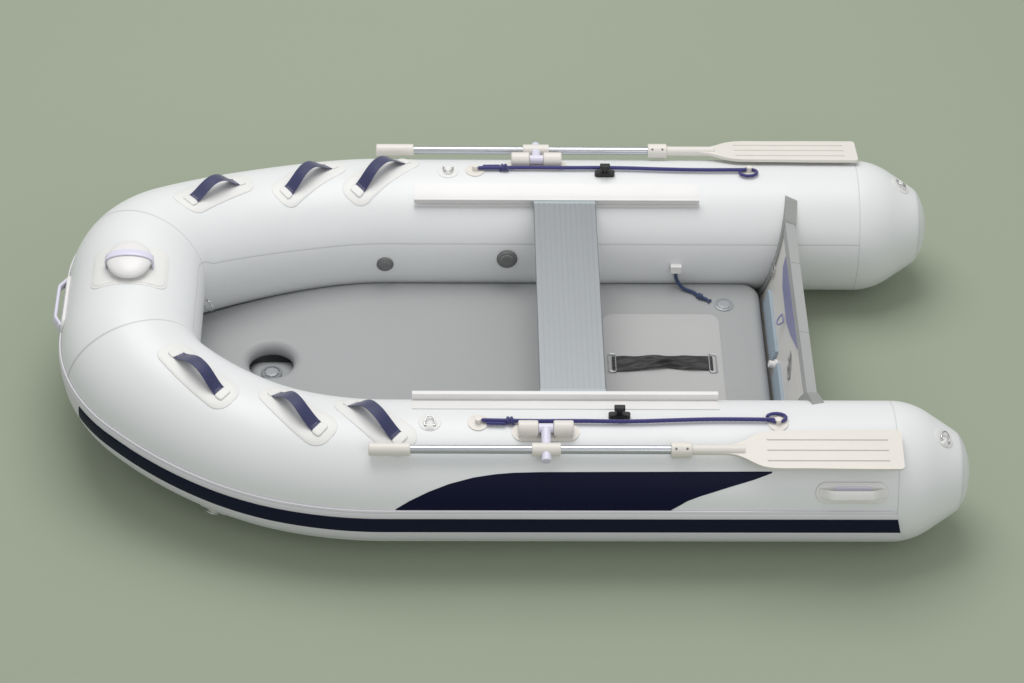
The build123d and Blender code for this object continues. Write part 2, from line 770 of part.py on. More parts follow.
def rub_rail():
    """The rub rail round the outside of the boat, in one length."""
    inner = tube_radius + rail_gap
    outer = inner + rub_thickness
    start = station(rub_start_station)
    rail = bow_band(rail_angles, inner, outer)
    for side in SIDES.values():
        rail += rail_band(side, rail_angles, inner, outer, start)
    return rail


def rail_stripes():
    """The dark stripe set on each side of the rub rail."""
    inner = tube_radius + rail_gap + rub_thickness + skin_gap
    stripes = []
    for side in SIDES.values():
        band = rail_band(side, stripe_angles, inner, inner + stripe_thickness, station(rub_start_station))
        stop = Pos(bow_axis_x + 500, side * 250, bow_axis_z) * Box(1000, 2 * stripe_bow_end + 232, 600)
        stripes.append(band - stop)
    return group(stripes)


def swoosh(side):
    """The dark sweep on the tube's side, thin as paint."""
    low, top = (tube_radius * (1 + sin(radians(angle))) for angle in swoosh_angles)
    tip, crest = turn_x - swoosh_tip_back, turn_x - swoosh_crest_back
    tail_top = station(swoosh_tail_station)
    tail_low = tail_top + swoosh_tail_slant
    rise, run = top - low, tip - crest
    with BuildSketch(Plane.XZ) as flat:
        with BuildLine():
            Spline((tip, low), (tip - 0.24 * run, low + 0.53 * rise), (tip - 0.56 * run, low + 0.88 * rise),
                   (crest, top - 1), tangents=((-0.8, 0.6), (-1, 0)))
            Line((crest, top - 1), (tail_top, top))
            Line((tail_top, top), (tail_low, low))
            Line((tail_low, low), (tip, low))
        make_face()
    beyond = half_spacing + 2 * tube_radius
    prism = extrude(flat.sketch, amount=-side * beyond)
    curve = shell(side, swoosh_thickness)
    outboard = Pos(0, side * 2 * half_spacing, 0) * Box(2 * tube_length, 2 * half_spacing, 4 * tube_radius)
    return prism & curve & outboard


# ---- fittings on the tubes
def strap_skew(distance):
    """Degrees that a strap is turned off square to its tube, for the same lay all along the boat."""
    path = tube_path(cone_x)
    ahead = path % (distance / path.length)
    return strap_lay + degrees(atan2(-ahead.Y, ahead.X))


def strap(distance, side):
    """A strap handle: a band arched over the tube on the skew."""
    skew = strap_skew(distance)
    sag = (strap_half_span * cos(radians(skew))) ** 2 / (2 * tube_radius) + strap_thickness
    inner = strap_half_span - strap_thickness
    with BuildSketch(Plane.YZ) as flat:
        with BuildLine():
            ThreePointArc((-strap_half_span, -sag), (0, strap_rise), (strap_half_span, -sag))
            Line((strap_half_span, -sag), (inner, -sag))
            ThreePointArc((inner, -sag), (0, strap_rise - strap_thickness), (-inner, -sag))
            Line((-inner, -sag), (-strap_half_span, -sag))
        make_face()
    band = extrude(flat.sketch, amount=strap_width / 2, both=True)
    band = seat(distance, 90, side, skew) * band
    return clear_of_tube(band, side, patch_thickness + 2 * skin_gap)


def from_seam(back):
    """Distance along a side tube's axis of a place measured back from the bow seam."""
    return tube_path(cone_x).length - back


def strap_handles(side):
    """The three strap handles on one side."""
    return group(strap(from_seam(back), side) for back in strap_backs)


def strap_patches(side):
    """The long round-cornered patches under the strap handles."""
    outline = RectangleRounded(strap_patch_width, strap_patch_length, strap_patch_corner)
    places = [from_seam(back) for back in strap_backs]
    return group(patch(place, 90, side, outline, skew=strap_skew(place)) for place in places)


def ring_spots():
    """Where the steel D-rings sit: distance along the tube, angle and side."""
    spots = []
    for side in SIDES.values():
        spots += [(from_seam(ring_backs[side]), ring_angle, side), (from_seam(low_ring_back), low_ring_angle, side),
                  (from_seam(inner_ring_back), inner_ring_angle, side)]
    return spots


def cone_seat(side):
    """A plane on the straight part of a stern cone, Z outward."""
    slope, turn = radians(cone_slope), radians(cone_ring_angle)
    x = station(cone_ring_station)
    end_x = cone_x - cone_shoulder_radius * sin(slope)
    radius = tube_radius - cone_shoulder_radius * (1 - cos(slope)) - (end_x - x) * tan(slope)
    around = Vector(0, side * cos(turn), sin(turn))
    out = around * cos(slope) - Vector(sin(slope), 0, 0)
    origin = Vector(x, side * half_spacing, tube_radius) + around * radius
    return Plane(origin=origin, x_dir=out.cross(around), z_dir=out)


def d_rings():
    """The steel D-rings: they lie on their patches, and the two inside the bow stand up."""
    rings = []
    lift = patch_thickness + 2 * skin_gap + ring_wire / 2
    ring = Pos(0, 0, lift) * Torus(ring_radius, ring_wire / 2)
    upright = Pos(0, 0, lift + ring_radius) * Rot(0, 90, 0) * Torus(ring_radius, ring_wire / 2)
    for distance, angle, side in ring_spots():
        rings.append(seat(distance, angle, side) * (upright if angle == inner_ring_angle else ring))
    for side in SIDES.values():
        rings.append(cone_seat(side) * ring)
    return group(rings)


def ring_patches():
    """The round patches that carry the D-rings."""
    patches = [patch(d, a, s, Circle(ring_patch_radius)) for d, a, s in ring_spots()]
    for side in SIDES.values():
        prism = cone_seat(side) * extrude(Circle(ring_patch_radius), amount=ring_patch_radius, both=True)
        patches.append(prism & (stern_cone(side, skin_gap + patch_thickness) - stern_cone(side, skin_gap)))
    return group(patches)


def rope_eyes(side):
    """The two moulded eyes that hold the ends of the grab line."""
    eyes = []
    for place in rope_eye_stations:
        base = seat(place - cone_length, rope_eye_angle, side)
        disc = base * Cylinder(30, 40) & shell(side, 3.0)
        stud = base * Pos(0, 0, 3) * Cylinder(9, 2 * rope_eye_height)
        eyes.append(disc + clear_of_tube(stud, side))
    return group(eyes)


def rope_route(side):
    """The grab line's route: it lies along the tube from eye to eye, a little slack."""
    lift = tube_radius + rope_diameter / 2 + rope_lift
    fore, aft = (station(place) for place in rope_eye_stations)
    fore -= 9 + skin_gap
    aft += 9 + skin_gap
    offsets = (15, 19, 17, 20, 13, 8, 11)
    points = []
    for n, offset in enumerate(offsets):
        x = fore + (aft - fore) * n / (len(offsets) - 1)
        points.append((x, side * (half_spacing + offset), tube_radius + sqrt(lift ** 2 - offset ** 2)))
    return points


def grab_line(side):
    """The rope's solid, from eye to eye."""
    return cord([Vector(*point) for point in rope_route(side)], rope_diameter, "grab line")


def tether_route():
    """The tether's route: down from its clip and along the deck, a little astern and inboard."""
    x, y = station(tether_station), -(half_spacing - tube_radius) + tether_clip_reach / 2
    top = tube_radius - tether_clip_height / 2 - skin_gap
    rest = deck_bottom + deck_thickness + tether_diameter / 2 + 2 * skin_gap
    ahead, aside = Vector(-0.843, 0.538, 0), Vector(-0.538, -0.843, 0)
    drops = ((0.0, 0.0, top), (0.0, 0.5, rest + 34.6), (12.6, 1.0, rest + 12.6), (34.4, -1.0, rest),
             (65.0, 5.0, rest), (94.0, -6.0, rest), (120.0, -4.0, rest))
    return [Vector(x, y, z) + ahead * far + aside * wide for far, wide, z in drops]


def cord(points, diameter, name):
    """A cord's solid: straight runs joined by arcs as large as the runs allow."""
    radii = []
    for before, corner, after in zip(points, points[1:], points[2:]):
        run = min((corner - before).length, (after - corner).length)
        turn = radians((corner - before).get_angle(after - corner))
        radii.append(0.45 * run / tan(turn / 2))
    path = FilletPolyline(*points, radius=radii)
    solid = sweep(Plane(origin=path @ 0, z_dir=path % 0) * Circle(diameter / 2), path=path)
    print(name, "radii", [round(value) for value in radii], "length", round(path.length),
          "volume share", round(solid.volume / (pi * (diameter / 2) ** 2 * path.length), 4))
    return solid


def tether():
    """The short tether that hangs from the clip on the starboard tube."""
    return cord(tether_route(), tether_diameter, "tether")


def cleat(side):
    """The black T-shaped cleat on top of the tube."""
    base = seat(cleat_station - cone_length, 92, side)
    length, width, height = cleat_foot
    foot = base * extrude(SlotOverall(length, width), amount=height, both=True)
    neck = base * Pos(0, 0, cleat_head_height / 2) * Cylinder(cleat_neck_radius, cleat_head_height)
    head = base * Pos(0, 0, cleat_head_height) * fillet(Box(*cleat_head).edges(), 3)
    return clear_of_tube(foot + neck, side) + head


def carry_handle(length, reach, plate):
    """A moulded carry handle in its own place: a plate and a raised grip with a finger gap."""
    sink = tube_radius - sqrt(tube_radius ** 2 - (handle_width / 2) ** 2)
    body = Pos(0, 0, -sink) * extrude(SlotOverall(length, handle_width), amount=sink + plate)
    foot = length / 2 - handle_end_inset
    shoulder = grip_gap_length / 2 + handle_bar_thickness
    outer = [(-foot, 0), (-shoulder, reach), (shoulder, reach), (foot, 0)]
    grip = extrude(make_face(Plane.XZ * Polyline(*outer, close=True)), amount=bar_width / 2, both=True)
    grip = fillet(grip.edges().filter_by(Axis.Y).group_by(Axis.Z)[-1], 6)
    gap_height = reach - handle_bar_thickness - plate
    slot = Pos(0, 0, plate + gap_height / 2) * Box(grip_gap_length, 2 * handle_width, gap_height)
    return body + grip - slot


def stern_handle(side):
    """The carry handle low on the stern of a side tube."""
    place = seat(stern_handle_station - cone_length, stern_handle_angle, side)
    return clear_of_tube(place * carry_handle(handle_length, handle_reach, handle_plate), side)


def bow_handle():
    """The carry handle across the front of the bow, let over the rub rail."""
    grip = carry_handle(bow_handle_length, bow_handle_reach, bow_handle_plate)
    turn = radians(bow_handle_angle)
    origin = (bow_axis_x + tube_radius * cos(turn), 0, bow_axis_z + tube_radius * sin(turn))
    place = Plane(origin=origin, x_dir=(0, 1, 0), z_dir=(cos(turn), 0, sin(turn)))
    rail_top = tube_radius + rail_gap + rub_thickness + skin_gap
    let_in = bow_band((rail_angles[0], rail_angles[1] + degrees(skin_gap / tube_radius)), tube_radius, rail_top)
    return place * grip - bow_tube(skin_gap) - let_in


def fairlead():
    """The patch over the top of the bow tube that carries the bow fitting."""
    outline = RectangleRounded(fairlead_patch_length, fairlead_patch_width, 30)
    plate = Pos(bow_axis_x, 0, bow_axis_z) * extrude(outline, amount=2 * tube_radius)
    return plate & (bow_tube(skin_gap + patch_thickness) - bow_tube(skin_gap))


def fairlead_housing():
    """The bow fitting: a foot, a neck, a wide dome on it and a belt arched over its middle."""
    centre = Pos(bow_axis_x, 0, bow_axis_z + tube_radius)
    length, width, height = dome_size
    dome = Pos(0, 0, dome_lift) * scale(Sphere(1), by=(length / 2, width / 2, height))
    dome -= Pos(0, 0, dome_lift - dome_belly - height) * Box(2 * length, 2 * width, 2 * height)
    neck = extrude(Ellipse(neck_size[0] / 2, neck_size[1] / 2), amount=dome_lift, both=True)
    reach = length / 2 + belt_proud
    arch = Pos(0, dome_lift) * Ellipse(reach, height + belt_proud)
    arch += Rectangle(2 * reach, 2 * dome_lift)
    belt = extrude(Plane.XZ * arch, amount=belt_width / 2, both=True)
    foot = Ellipse(neck_size[0] / 2 + foot_margin, neck_size[1] / 2 + foot_margin)
    foot = extrude(foot, amount=tube_radius, both=True)
    under = skin_gap * 2 + patch_thickness
    foot = (centre * foot) & (bow_tube(under + fairlead_foot) - bow_tube(under))
    return (centre * (dome + neck + belt)) - bow_tube(under) + foot


def inner_valve(x, side, radius):
    """A valve on the inner side of a side tube."""
    y = side * (half_spacing - tube_radius)
    body = Pos(x, y - side * 2.5, tube_radius) * Rot(90, 0, 0) * Cylinder(radius, valve_rim)
    cap = Pos(x, y - side * 8, tube_radius) * Rot(90, 0, 0) * Cylinder(radius * 0.6, valve_rim)
    return clear_of_tube(body + cap, side)


def valves():
    """Each side tube's inflation valve and the starboard pressure valve."""
    inflation = station(inflation_station)
    return group([inner_valve(inflation, -1, inflation_radius), inner_valve(inflation, 1, inflation_radius),
                  inner_valve(station(relief_station), -1, relief_radius)])


def deck_valves():
    """The air deck's valve, and the keel's valve under the hole in the deck."""
    top = deck_bottom + deck_thickness + skin_gap
    deck = Pos(station(deck_valve_station), deck_valve_y, top + 2) * Cylinder(deck_valve_radius, 4)
    keel_top = deck_bottom - skin_gap
    return group([deck, Pos(bow_axis_x - keel_hole_back, 0, keel_top + 5.5) * Cylinder(keel_valve_radius, 10)])


def floor_patch():
    """The rectangular patch on the deck, under the tank strap."""
    start, end = (station(place) for place in panel_stations)
    body = extrude(RectangleRounded(end - start, panel_width, panel_corner), amount=panel_thickness)
    return Pos((start + end) / 2, 0, deck_bottom + deck_thickness + skin_gap) * body


def floor_strap():
    """The black tank strap across the patch."""
    start, end = (station(place) for place in tank_strap_stations)
    top = deck_bottom + deck_thickness + 2 * skin_gap + panel_thickness
    band = Box(end - start, tank_strap_width, tank_strap_thickness)
    return Pos((start + end) / 2, tank_strap_y, top + tank_strap_thickness / 2) * band


def tether_clip():
    """The white clip on the starboard tube that the tether hangs from."""
    x, y = station(tether_station), -(half_spacing - tube_radius)
    body = Box(tether_clip_length, tether_clip_reach, tether_clip_height)
    body = Pos(x, y + tether_clip_reach / 2 - 2, tube_radius) * body
    return clear_of_tube(body, -1)


# ---- the nodes
def main():
    """Build and write every node."""
    os.makedirs("parts", exist_ok=True)
    save("bow_tube", bow_tube())
    save("air_deck", air_deck())
    save("bottom_sheet", bottom_sheet())
    save("keel", keel())
    save("transom_board", transom_board())
    save("transom_edging", transom_edging())
    save("transom_holders", transom_holders())
    pad_top = transom_top - (edging_depth + 1) * cos(radians(transom_rake))
    inner = [(-262, pad_top), (168, pad_top), (60, 292), (-20, 272), (-180, 276), (-250, 300)]
    outer = [(-150, pad_top), (150, pad_top), (140, 150), (-140, 150)]
    save("transom_pads", group([pad(inner, -pad_thickness - skin_gap), pad(outer, transom_thickness + skin_gap)]))
    save("foot_strips", foot_strips())
    save("drain_plug", drain_plug())
    save("bench_plank", bench_plank())
    save("bench_caps", bench_caps())
    save("rub_rail", rub_rail())
    save("rail_stripes", rail_stripes())
    save("d_rings", d_rings())
    save("ring_patches", ring_patches())
    save("bow_handle", bow_handle())
    save("fairlead_plate", fairlead())
    save("fairlead_housing", fairlead_housing())
    save("valves", valves())
    save("deck_valves", deck_valves())
    save("floor_patch", floor_patch())
    save("floor_strap", floor_strap())
    save("tether_clip", tether_clip())
    save("tether", tether())
    makers = {
        "tube": lambda side: side_tube(0, side), "stern_cone": stern_cone, "seat_rail": seat_rail,
        "rowlock_base": rowlock_base, "oar_pin": oar_pin, "oar_sleeve": oar_sleeve,
        "oar_shaft": oar_shaft, "oar_grip": oar_grip, "oar_collar": oar_collar,
        "oar_blade": oar_blade, "swoosh": swoosh, "strap_handles": strap_handles,
        "strap_patches": strap_patches, "rope_eyes": rope_eyes, "grab_line": grab_line,
        "cleat": cleat, "stern_handle": stern_handle,
    }
    for name, side in SIDES.items():
        for piece, make in makers.items():
            save(f"{name}_{piece}", make(side))


main()
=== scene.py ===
# %% [markdown]
# # Dressing an inflatable boat
# The boat is a 2.7 m dinghy: three air tubes in a U, a stiff air floor, a raked wooden transom, a sliding
# bench and two oars that lie on the tubes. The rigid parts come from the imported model, which is loaded
# first and never moved. Everything soft, glued, sewn or laid is made here, around that frame.

# %% Load the frame
from math import acos, cos, degrees, hypot, pi, radians, sin, sqrt, tan

import bmesh
import bpy
import numpy as np
from mathutils import Matrix, Vector


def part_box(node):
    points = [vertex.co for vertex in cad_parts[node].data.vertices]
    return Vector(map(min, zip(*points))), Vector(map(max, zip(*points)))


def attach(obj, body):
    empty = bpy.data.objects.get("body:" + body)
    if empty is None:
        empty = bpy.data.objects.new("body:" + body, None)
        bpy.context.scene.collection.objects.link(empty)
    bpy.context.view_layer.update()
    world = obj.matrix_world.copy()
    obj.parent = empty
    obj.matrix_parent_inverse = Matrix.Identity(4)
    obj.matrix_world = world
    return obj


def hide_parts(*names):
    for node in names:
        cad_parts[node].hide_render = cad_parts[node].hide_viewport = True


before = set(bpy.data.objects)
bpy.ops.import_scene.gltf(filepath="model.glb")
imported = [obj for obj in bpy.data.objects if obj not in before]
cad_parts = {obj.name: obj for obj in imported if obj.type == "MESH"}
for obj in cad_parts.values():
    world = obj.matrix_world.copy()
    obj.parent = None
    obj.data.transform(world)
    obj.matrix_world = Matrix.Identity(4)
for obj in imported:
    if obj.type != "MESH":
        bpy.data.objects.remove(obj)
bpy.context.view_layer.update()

# %% [markdown]
# ## The sizes that everything shares
# Soft pieces only fit if they use the same few dimensions as the frame. Distances along the boat are
# stations, measured forward from the stern tips, so one place on the frame fixes them all.

# %% Shared sizes
TUBE_RADIUS = 0.208
HALF_SPACING = 0.564          # from the middle of the boat to a side tube's axis
TUBE_LENGTH = 2.7
CONE_LENGTH = 0.235
BOW_CURVE = 0.775             # from where the tubes turn in to the bow's axis
BOW_PIECE = 0.268             # the straight piece across the bow
FIRST_TURN = 37.0
BOW_RISE = 0.101
RISE_LENGTH = 0.557
ARC_STEPS = 3
ARC_SHARE = 0.985
SKIN = 0.0003                 # the glue line under a patch
PATCH = 0.0016
SIDES = {"port": 1, "starboard": -1}

stern_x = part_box("port_stern_cone")[0].x
bow_axis_x = stern_x + TUBE_LENGTH - TUBE_RADIUS
bow_axis_z = TUBE_RADIUS + BOW_RISE
turn_x = bow_axis_x - BOW_CURVE
cone_x = stern_x + CONE_LENGTH


def station(distance):
    """X of a place measured forward from the stern tips."""
    return stern_x + distance


print("stern tips at X", round(stern_x, 4), "bow axis at", round(bow_axis_x, 3), round(bow_axis_z, 3))

# %% [markdown]
# ## The camera
# A long lens from high on the port side shows the whole boat almost as a plan. The place and the turn of
# the camera are built from its own three axes, so that a small roll can be given exactly.

# %% Camera
CAMERA_PLACE = Vector((stern_x + 1.575, 7.071, 6.607))
CAMERA_RISE, CAMERA_YAW, CAMERA_ROLL = (radians(a) for a in (42.1226, 1.9162, 1.4496))


def camera_axes():
    """The camera's right, up and back directions."""
    back = Vector((sin(CAMERA_YAW) * cos(CAMERA_RISE), cos(CAMERA_YAW) * cos(CAMERA_RISE), sin(CAMERA_RISE)))
    right = Vector((0, 0, 1)).cross(back).normalized()
    up = back.cross(right)
    return (right * cos(CAMERA_ROLL) + up * sin(CAMERA_ROLL),
            up * cos(CAMERA_ROLL) - right * sin(CAMERA_ROLL), back)


lens = bpy.data.cameras.new("camera")
lens.lens = 109.0
lens.sensor_width = 36.0
camera = bpy.data.objects.new("camera", lens)
bpy.context.scene.collection.objects.link(camera)
facing = Matrix(camera_axes()).transposed().to_4x4()
camera.matrix_world = Matrix.Translation(CAMERA_PLACE) @ facing
bpy.context.scene.camera = camera
print("camera at", [round(v, 2) for v in CAMERA_PLACE], "lens", lens.lens)

# %% [markdown]
# ## The line that the tubes follow
# Both side tubes and the bow piece are one bent line: straight sides, then short arcs that turn in and
# climb to the bow. The line runs from the port stern round to the starboard stern. At each place it
# gives three directions: ahead along the line, level outboard, and up. Every patch, rail and seam is
# then given by a distance, an angle round the tube and a height off its skin.

# %% Hull line
def bow_radii(length, offset, turn):
    """The radii of a curve that turns through turn and then the rest of a right angle."""
    s, c = sin(radians(turn)), cos(radians(turn))
    det = s * c - (1 - s) * (1 - c)
    return (length * c - offset * (1 - s)) / det, (offset * s - length * (1 - c)) / det


def rise_at(x):
    """How far the tube's axis has climbed at x."""
    return BOW_RISE * max(0.0, (x - (bow_axis_x - RISE_LENGTH)) / RISE_LENGTH) ** 2


def line_corners():
    """The corners of the port half of the line, and how far each corner's arc reaches."""
    radii = bow_radii(BOW_CURVE, HALF_SPACING - BOW_PIECE / 2, FIRST_TURN)
    corners, reaches = [np.array([cone_x, HALF_SPACING, TUBE_RADIUS])], []
    x, y, heading = turn_x, HALF_SPACING, 0.0
    for radius, turn in zip(radii, (FIRST_TURN, 90 - FIRST_TURN)):
        step = radians(turn / ARC_STEPS)
        reach = radius * tan(step / 2)
        for _ in range(ARC_STEPS):
            x, y = x + reach * cos(heading), y - reach * sin(heading)
            corners.append(np.array([x, y, TUBE_RADIUS + rise_at(x)]))
            reaches.append(reach * ARC_SHARE)
            heading += step
            x, y = x + reach * cos(heading), y - reach * sin(heading)
    corners.append(np.array([bow_axis_x, BOW_PIECE / 2, bow_axis_z]))
    return corners, reaches


def unit(vector):
    """The vector, or each row of vectors, at length 1."""
    return vector / np.linalg.norm(vector, axis=-1, keepdims=True)


def together(*values):
    """Numbers and arrays brought to one shape."""
    return np.broadcast_arrays(*(np.asarray(value, float) for value in values))


def half_line(step=0.012):
    """Points along the port half: straight runs joined by arcs."""
    corners, reaches = line_corners()
    points = [corners[0]]

    def run_to(end):
        start = points[-1]
        count = max(1, int(np.linalg.norm(end - start) / step))
        points.extend(start + (end - start) * n / count for n in range(1, count + 1))

    for before, corner, after, reach in zip(corners, corners[1:], corners[2:], reaches):
        back, on = unit(before - corner), unit(after - corner)
        turn = pi - acos(float(back @ on))
        radius = reach / tan(turn / 2)
        run_to(corner + back * reach)
        centre = corner + unit(back + on) * hypot(radius, reach)
        first, last = points[-1] - centre, corner + on * reach - centre
        count = max(2, int(radius * turn / step))
        for n in range(1, count + 1):
            part = n / count
            mix = first * sin((1 - part) * turn) + last * sin(part * turn)
            points.append(centre + mix / sin(turn))
    run_to(corners[-1])
    return np.array(points)


PORT_HALF = half_line()
BOW_RUN = np.linspace(1, -1, 21)[1:-1, None] * [0, BOW_PIECE / 2, 0] + [bow_axis_x, 0, bow_axis_z]
LINE = np.concatenate([PORT_HALF, BOW_RUN, PORT_HALF[::-1] * [1, -1, 1]])
STEPS = np.linalg.norm(np.diff(LINE, axis=0), axis=1)
PLACES = np.concatenate([[0], np.cumsum(STEPS)])
WHOLE = float(PLACES[-1])
SEAM = (WHOLE - BOW_PIECE) / 2            # from a stern cone to the bow seam
HEADINGS = unit(np.gradient(LINE, PLACES, axis=0))


def line_frame(place):
    """Centre, ahead, outboard and up at distances along the whole line."""
    place = np.asarray(place, float)
    centre = np.stack([np.interp(place, PLACES, LINE[:, k]) for k in range(3)], -1)
    beyond = np.minimum(place, 0) + np.maximum(place - WHOLE, 0)
    ahead = unit(np.stack([np.interp(place, PLACES, HEADINGS[:, k]) for k in range(3)], -1))
    centre = centre + ahead * beyond[..., None]
    outboard = unit(np.cross([0.0, 0.0, 1.0], ahead))
    return centre, ahead, outboard, np.cross(ahead, outboard)


def round_line(place, angle, height=0.0):
    """Points at an angle round the tube, 0 level outboard and 90 on top, at a height off the skin."""
    centre, _, outboard, up = line_frame(place)
    angle, reach = np.radians(angle), TUBE_RADIUS + np.asarray(height, float)
    return centre + (outboard * np.cos(angle)[..., None] + up * np.sin(angle)[..., None]) * reach[..., None]


def on_tube(side, distance, angle, height=0.0):
    """The same for one side, with the distance from its stern cone."""
    distance, angle, height = together(distance, angle, height)
    return round_line(distance if side > 0 else WHOLE - distance, angle, height)


print("line", round(WHOLE, 3), "m from cone to cone; bow seam at", round(SEAM, 3))

# %% [markdown]
# ## Building meshes
# Nearly every soft piece is a stack of rings: a tube is rings along its line, and a patch is rings that
# shrink to its middle. One builder joins the rings, closes both ends and lays out a UV map in metres,
# so that a weave keeps its scale. An attribute called seam marks where the skin darkens: the glue lines'
# own grey and painted shade at lap edges and in weld grooves. A thin film between two grids of points
# serves for sheets, and each finished piece is settled on its body.

# %% Mesh builders
def finish_mesh(piece, uv=None, period=None, seam=None, angle=None):
    """Faces turned outward, smooth shading, and the UV map and seam attribute that materials read."""
    mesh = piece.data
    work = bmesh.new()
    work.from_mesh(mesh)
    bmesh.ops.recalc_face_normals(work, faces=work.faces)
    if uv is not None:
        layer = work.loops.layers.uv.new("UVMap")
        for face in work.faces:
            corners = [uv[loop.vert.index] for loop in face.loops]
            high = max(c[1] for c in corners)
            for loop, (along, across) in zip(face.loops, corners):
                wrapped = period is not None and high - across > period / 2
                loop[layer].uv = (along, across + period if wrapped else across)
    work.to_mesh(mesh)
    work.free()
    if seam is not None:
        mesh.attributes.new("seam", "FLOAT", "POINT").data.foreach_set("value", np.asarray(seam, np.float32))
    mesh.shade_smooth()
    if angle is not None:
        mesh.set_sharp_from_angle(angle=radians(angle))
    return piece


def new_piece(name, points, faces):
    """A mesh object at the origin with these points and faces."""
    mesh = bpy.data.meshes.new(name)
    mesh.from_pydata([tuple(map(float, p)) for p in points], [], faces)
    piece = bpy.data.objects.new(name, mesh)
    bpy.context.scene.collection.objects.link(piece)
    return piece


def ring_faces(rings, size):
    """Quads between neighbouring closed rings, and a fan of triangles at each end."""
    faces = []
    for ring in range(rings - 1):
        base = ring * size
        for n in range(size):
            on = (n + 1) % size
            faces.append((base + n, base + on, base + size + on, base + size + n))
    first, last = rings * size, rings * size + 1
    top = (rings - 1) * size
    for n in range(size):
        on = (n + 1) % size
        faces.append((on, n, first))
        faces.append((top + n, top + on, last))
    return faces


def ring_piece(name, rings, along=None, around=None, seam=None, angle=None):
    """A closed piece from rings of points, shaped (rings, points, 3)."""
    rings = np.asarray(rings, float)
    count, size = rings.shape[:2]
    points = np.concatenate([rings.reshape(-1, 3), rings[:1].mean(1), rings[-1:].mean(1)])
    piece = new_piece(name, points, ring_faces(count, size))
    uv = period = None
    if along is not None:
        along, around = np.asarray(along, float), np.asarray(around, float)
        pairs = np.stack(np.broadcast_arrays(along[:, None], around[None, :]), -1).reshape(-1, 2)
        uv = np.concatenate([pairs, [pairs[0], pairs[-1]]]).tolist()
        period = float(around[-1] + around[1] - 2 * around[0])
    if seam is not None:
        seam = np.concatenate([np.broadcast_to(seam, (count, size)).ravel(), [0, 0]])
    return finish_mesh(piece, uv, period, seam, angle)


def joined(name, pieces):
    """Several pieces as one."""
    with bpy.context.temp_override(active_object=pieces[0], selected_editable_objects=pieces,
                                   selected_objects=pieces):
        bpy.ops.object.join()
    pieces[0].name = pieces[0].data.name = name
    return pieces[0]


def film(name, under, over, angle=40):
    """A closed thin sheet between two grids of points of the same shape."""
    rows, columns = under.shape[:2]

    def at(layer, row, column):
        return (layer * rows + row) * columns + column

    faces = [(at(layer, r, c), at(layer, r, c + 1), at(layer, r + 1, c + 1), at(layer, r + 1, c))
             for layer in (0, 1) for r in range(rows - 1) for c in range(columns - 1)]
    rim = [(0, c) for c in range(columns - 1)] + [(r, columns - 1) for r in range(rows - 1)]
    rim += [(rows - 1, c) for c in range(columns - 1, 0, -1)] + [(r, 0) for r in range(rows - 1, 0, -1)]
    for here, after in zip(rim, rim[1:] + rim[:1]):
        faces.append((at(0, *here), at(0, *after), at(1, *after), at(1, *here)))
    return finish_mesh(new_piece(name, np.concatenate([under.reshape(-1, 3), over.reshape(-1, 3)]), faces),
                       angle=angle)


def settle(piece, slot, *nodes, finish=None, body="hull"):
    """A finished piece takes its material, its body and the CAD nodes that it stands for; slot is not used.
    """
    if finish is not None:
        piece.data.materials.append(finish)
    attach(piece, body)
    if nodes:
        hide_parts(*nodes)
    return piece


def seat(side, distance, angle):
    """A place on a tube to build on: how far along the line, the angle, and which way is forward."""
    return (distance if side > 0 else WHOLE - distance, angle, side)


def laid(place, forward, round_up, height):
    """Points laid on the tube from a seat: forward along it, up round it, and off its skin, in metres."""
    along, angle, way = place
    forward, round_up, height = together(forward, round_up, height)
    return round_line(along + way * forward, angle + np.degrees(round_up / TUBE_RADIUS), height)


def skewed(across, lengthwise, skew):
    """Turn a piece's own across and lengthwise measures by skew degrees on its seat."""
    k = radians(skew)
    return across * cos(k) + lengthwise * sin(k), lengthwise * cos(k) - across * sin(k)


def rounded_box(length, width, corner, steps=7):
    """The outline of a box with round corners, as points from its middle."""
    outline = []
    for n, (sx, sy) in enumerate(((1, 1), (-1, 1), (-1, -1), (1, -1))):
        for step in range(steps):
            turn = pi / 2 * (n + step / (steps - 1))
            outline.append((sx * (length / 2 - corner) + corner * cos(turn),
                            sy * (width / 2 - corner) + corner * sin(turn)))
    return np.array(outline)


def oval(length, width, count=44):
    """The outline of an ellipse."""
    turns = np.arange(count) * 2 * pi / count
    return np.stack([length / 2 * np.cos(turns), width / 2 * np.sin(turns)], -1)


def filled_in(outline, parts=6):
    """The outline with points added along its long edges."""
    longest = max(np.linalg.norm(np.roll(outline, -1, 0) - outline, axis=1)) / parts
    points = []
    for start, end in zip(outline, np.roll(outline, -1, 0)):
        count = max(1, int(np.linalg.norm(end - start) / longest))
        points += [start + (end - start) * n / count for n in range(count)]
    return np.array(points)


def patch_rings(outline, steps):
    """Rings of (across, lengthwise, height) from outline scales and heights."""
    outline = filled_in(outline)
    return [np.column_stack([outline * scale, np.full(len(outline), height)]) for scale, height in steps]


def patch_steps(size, height, edge, lift=SKIN, crown=0.0):
    """Scales and heights of a patch of this half size, from its middle underneath to its middle on top."""
    rim = 1 - edge / size
    under = [(0.05, lift), (0.35, lift), (0.7, lift), (1.0, lift)]
    side = [(1.0, lift + 0.45 * height), (1 - 0.35 * (1 - rim), lift + 0.85 * height), (rim, lift + height)]
    over = [(rim * s, lift + height + crown * (1 - s * s)) for s in (0.8, 0.55, 0.3, 0.05)]
    return under + side + over


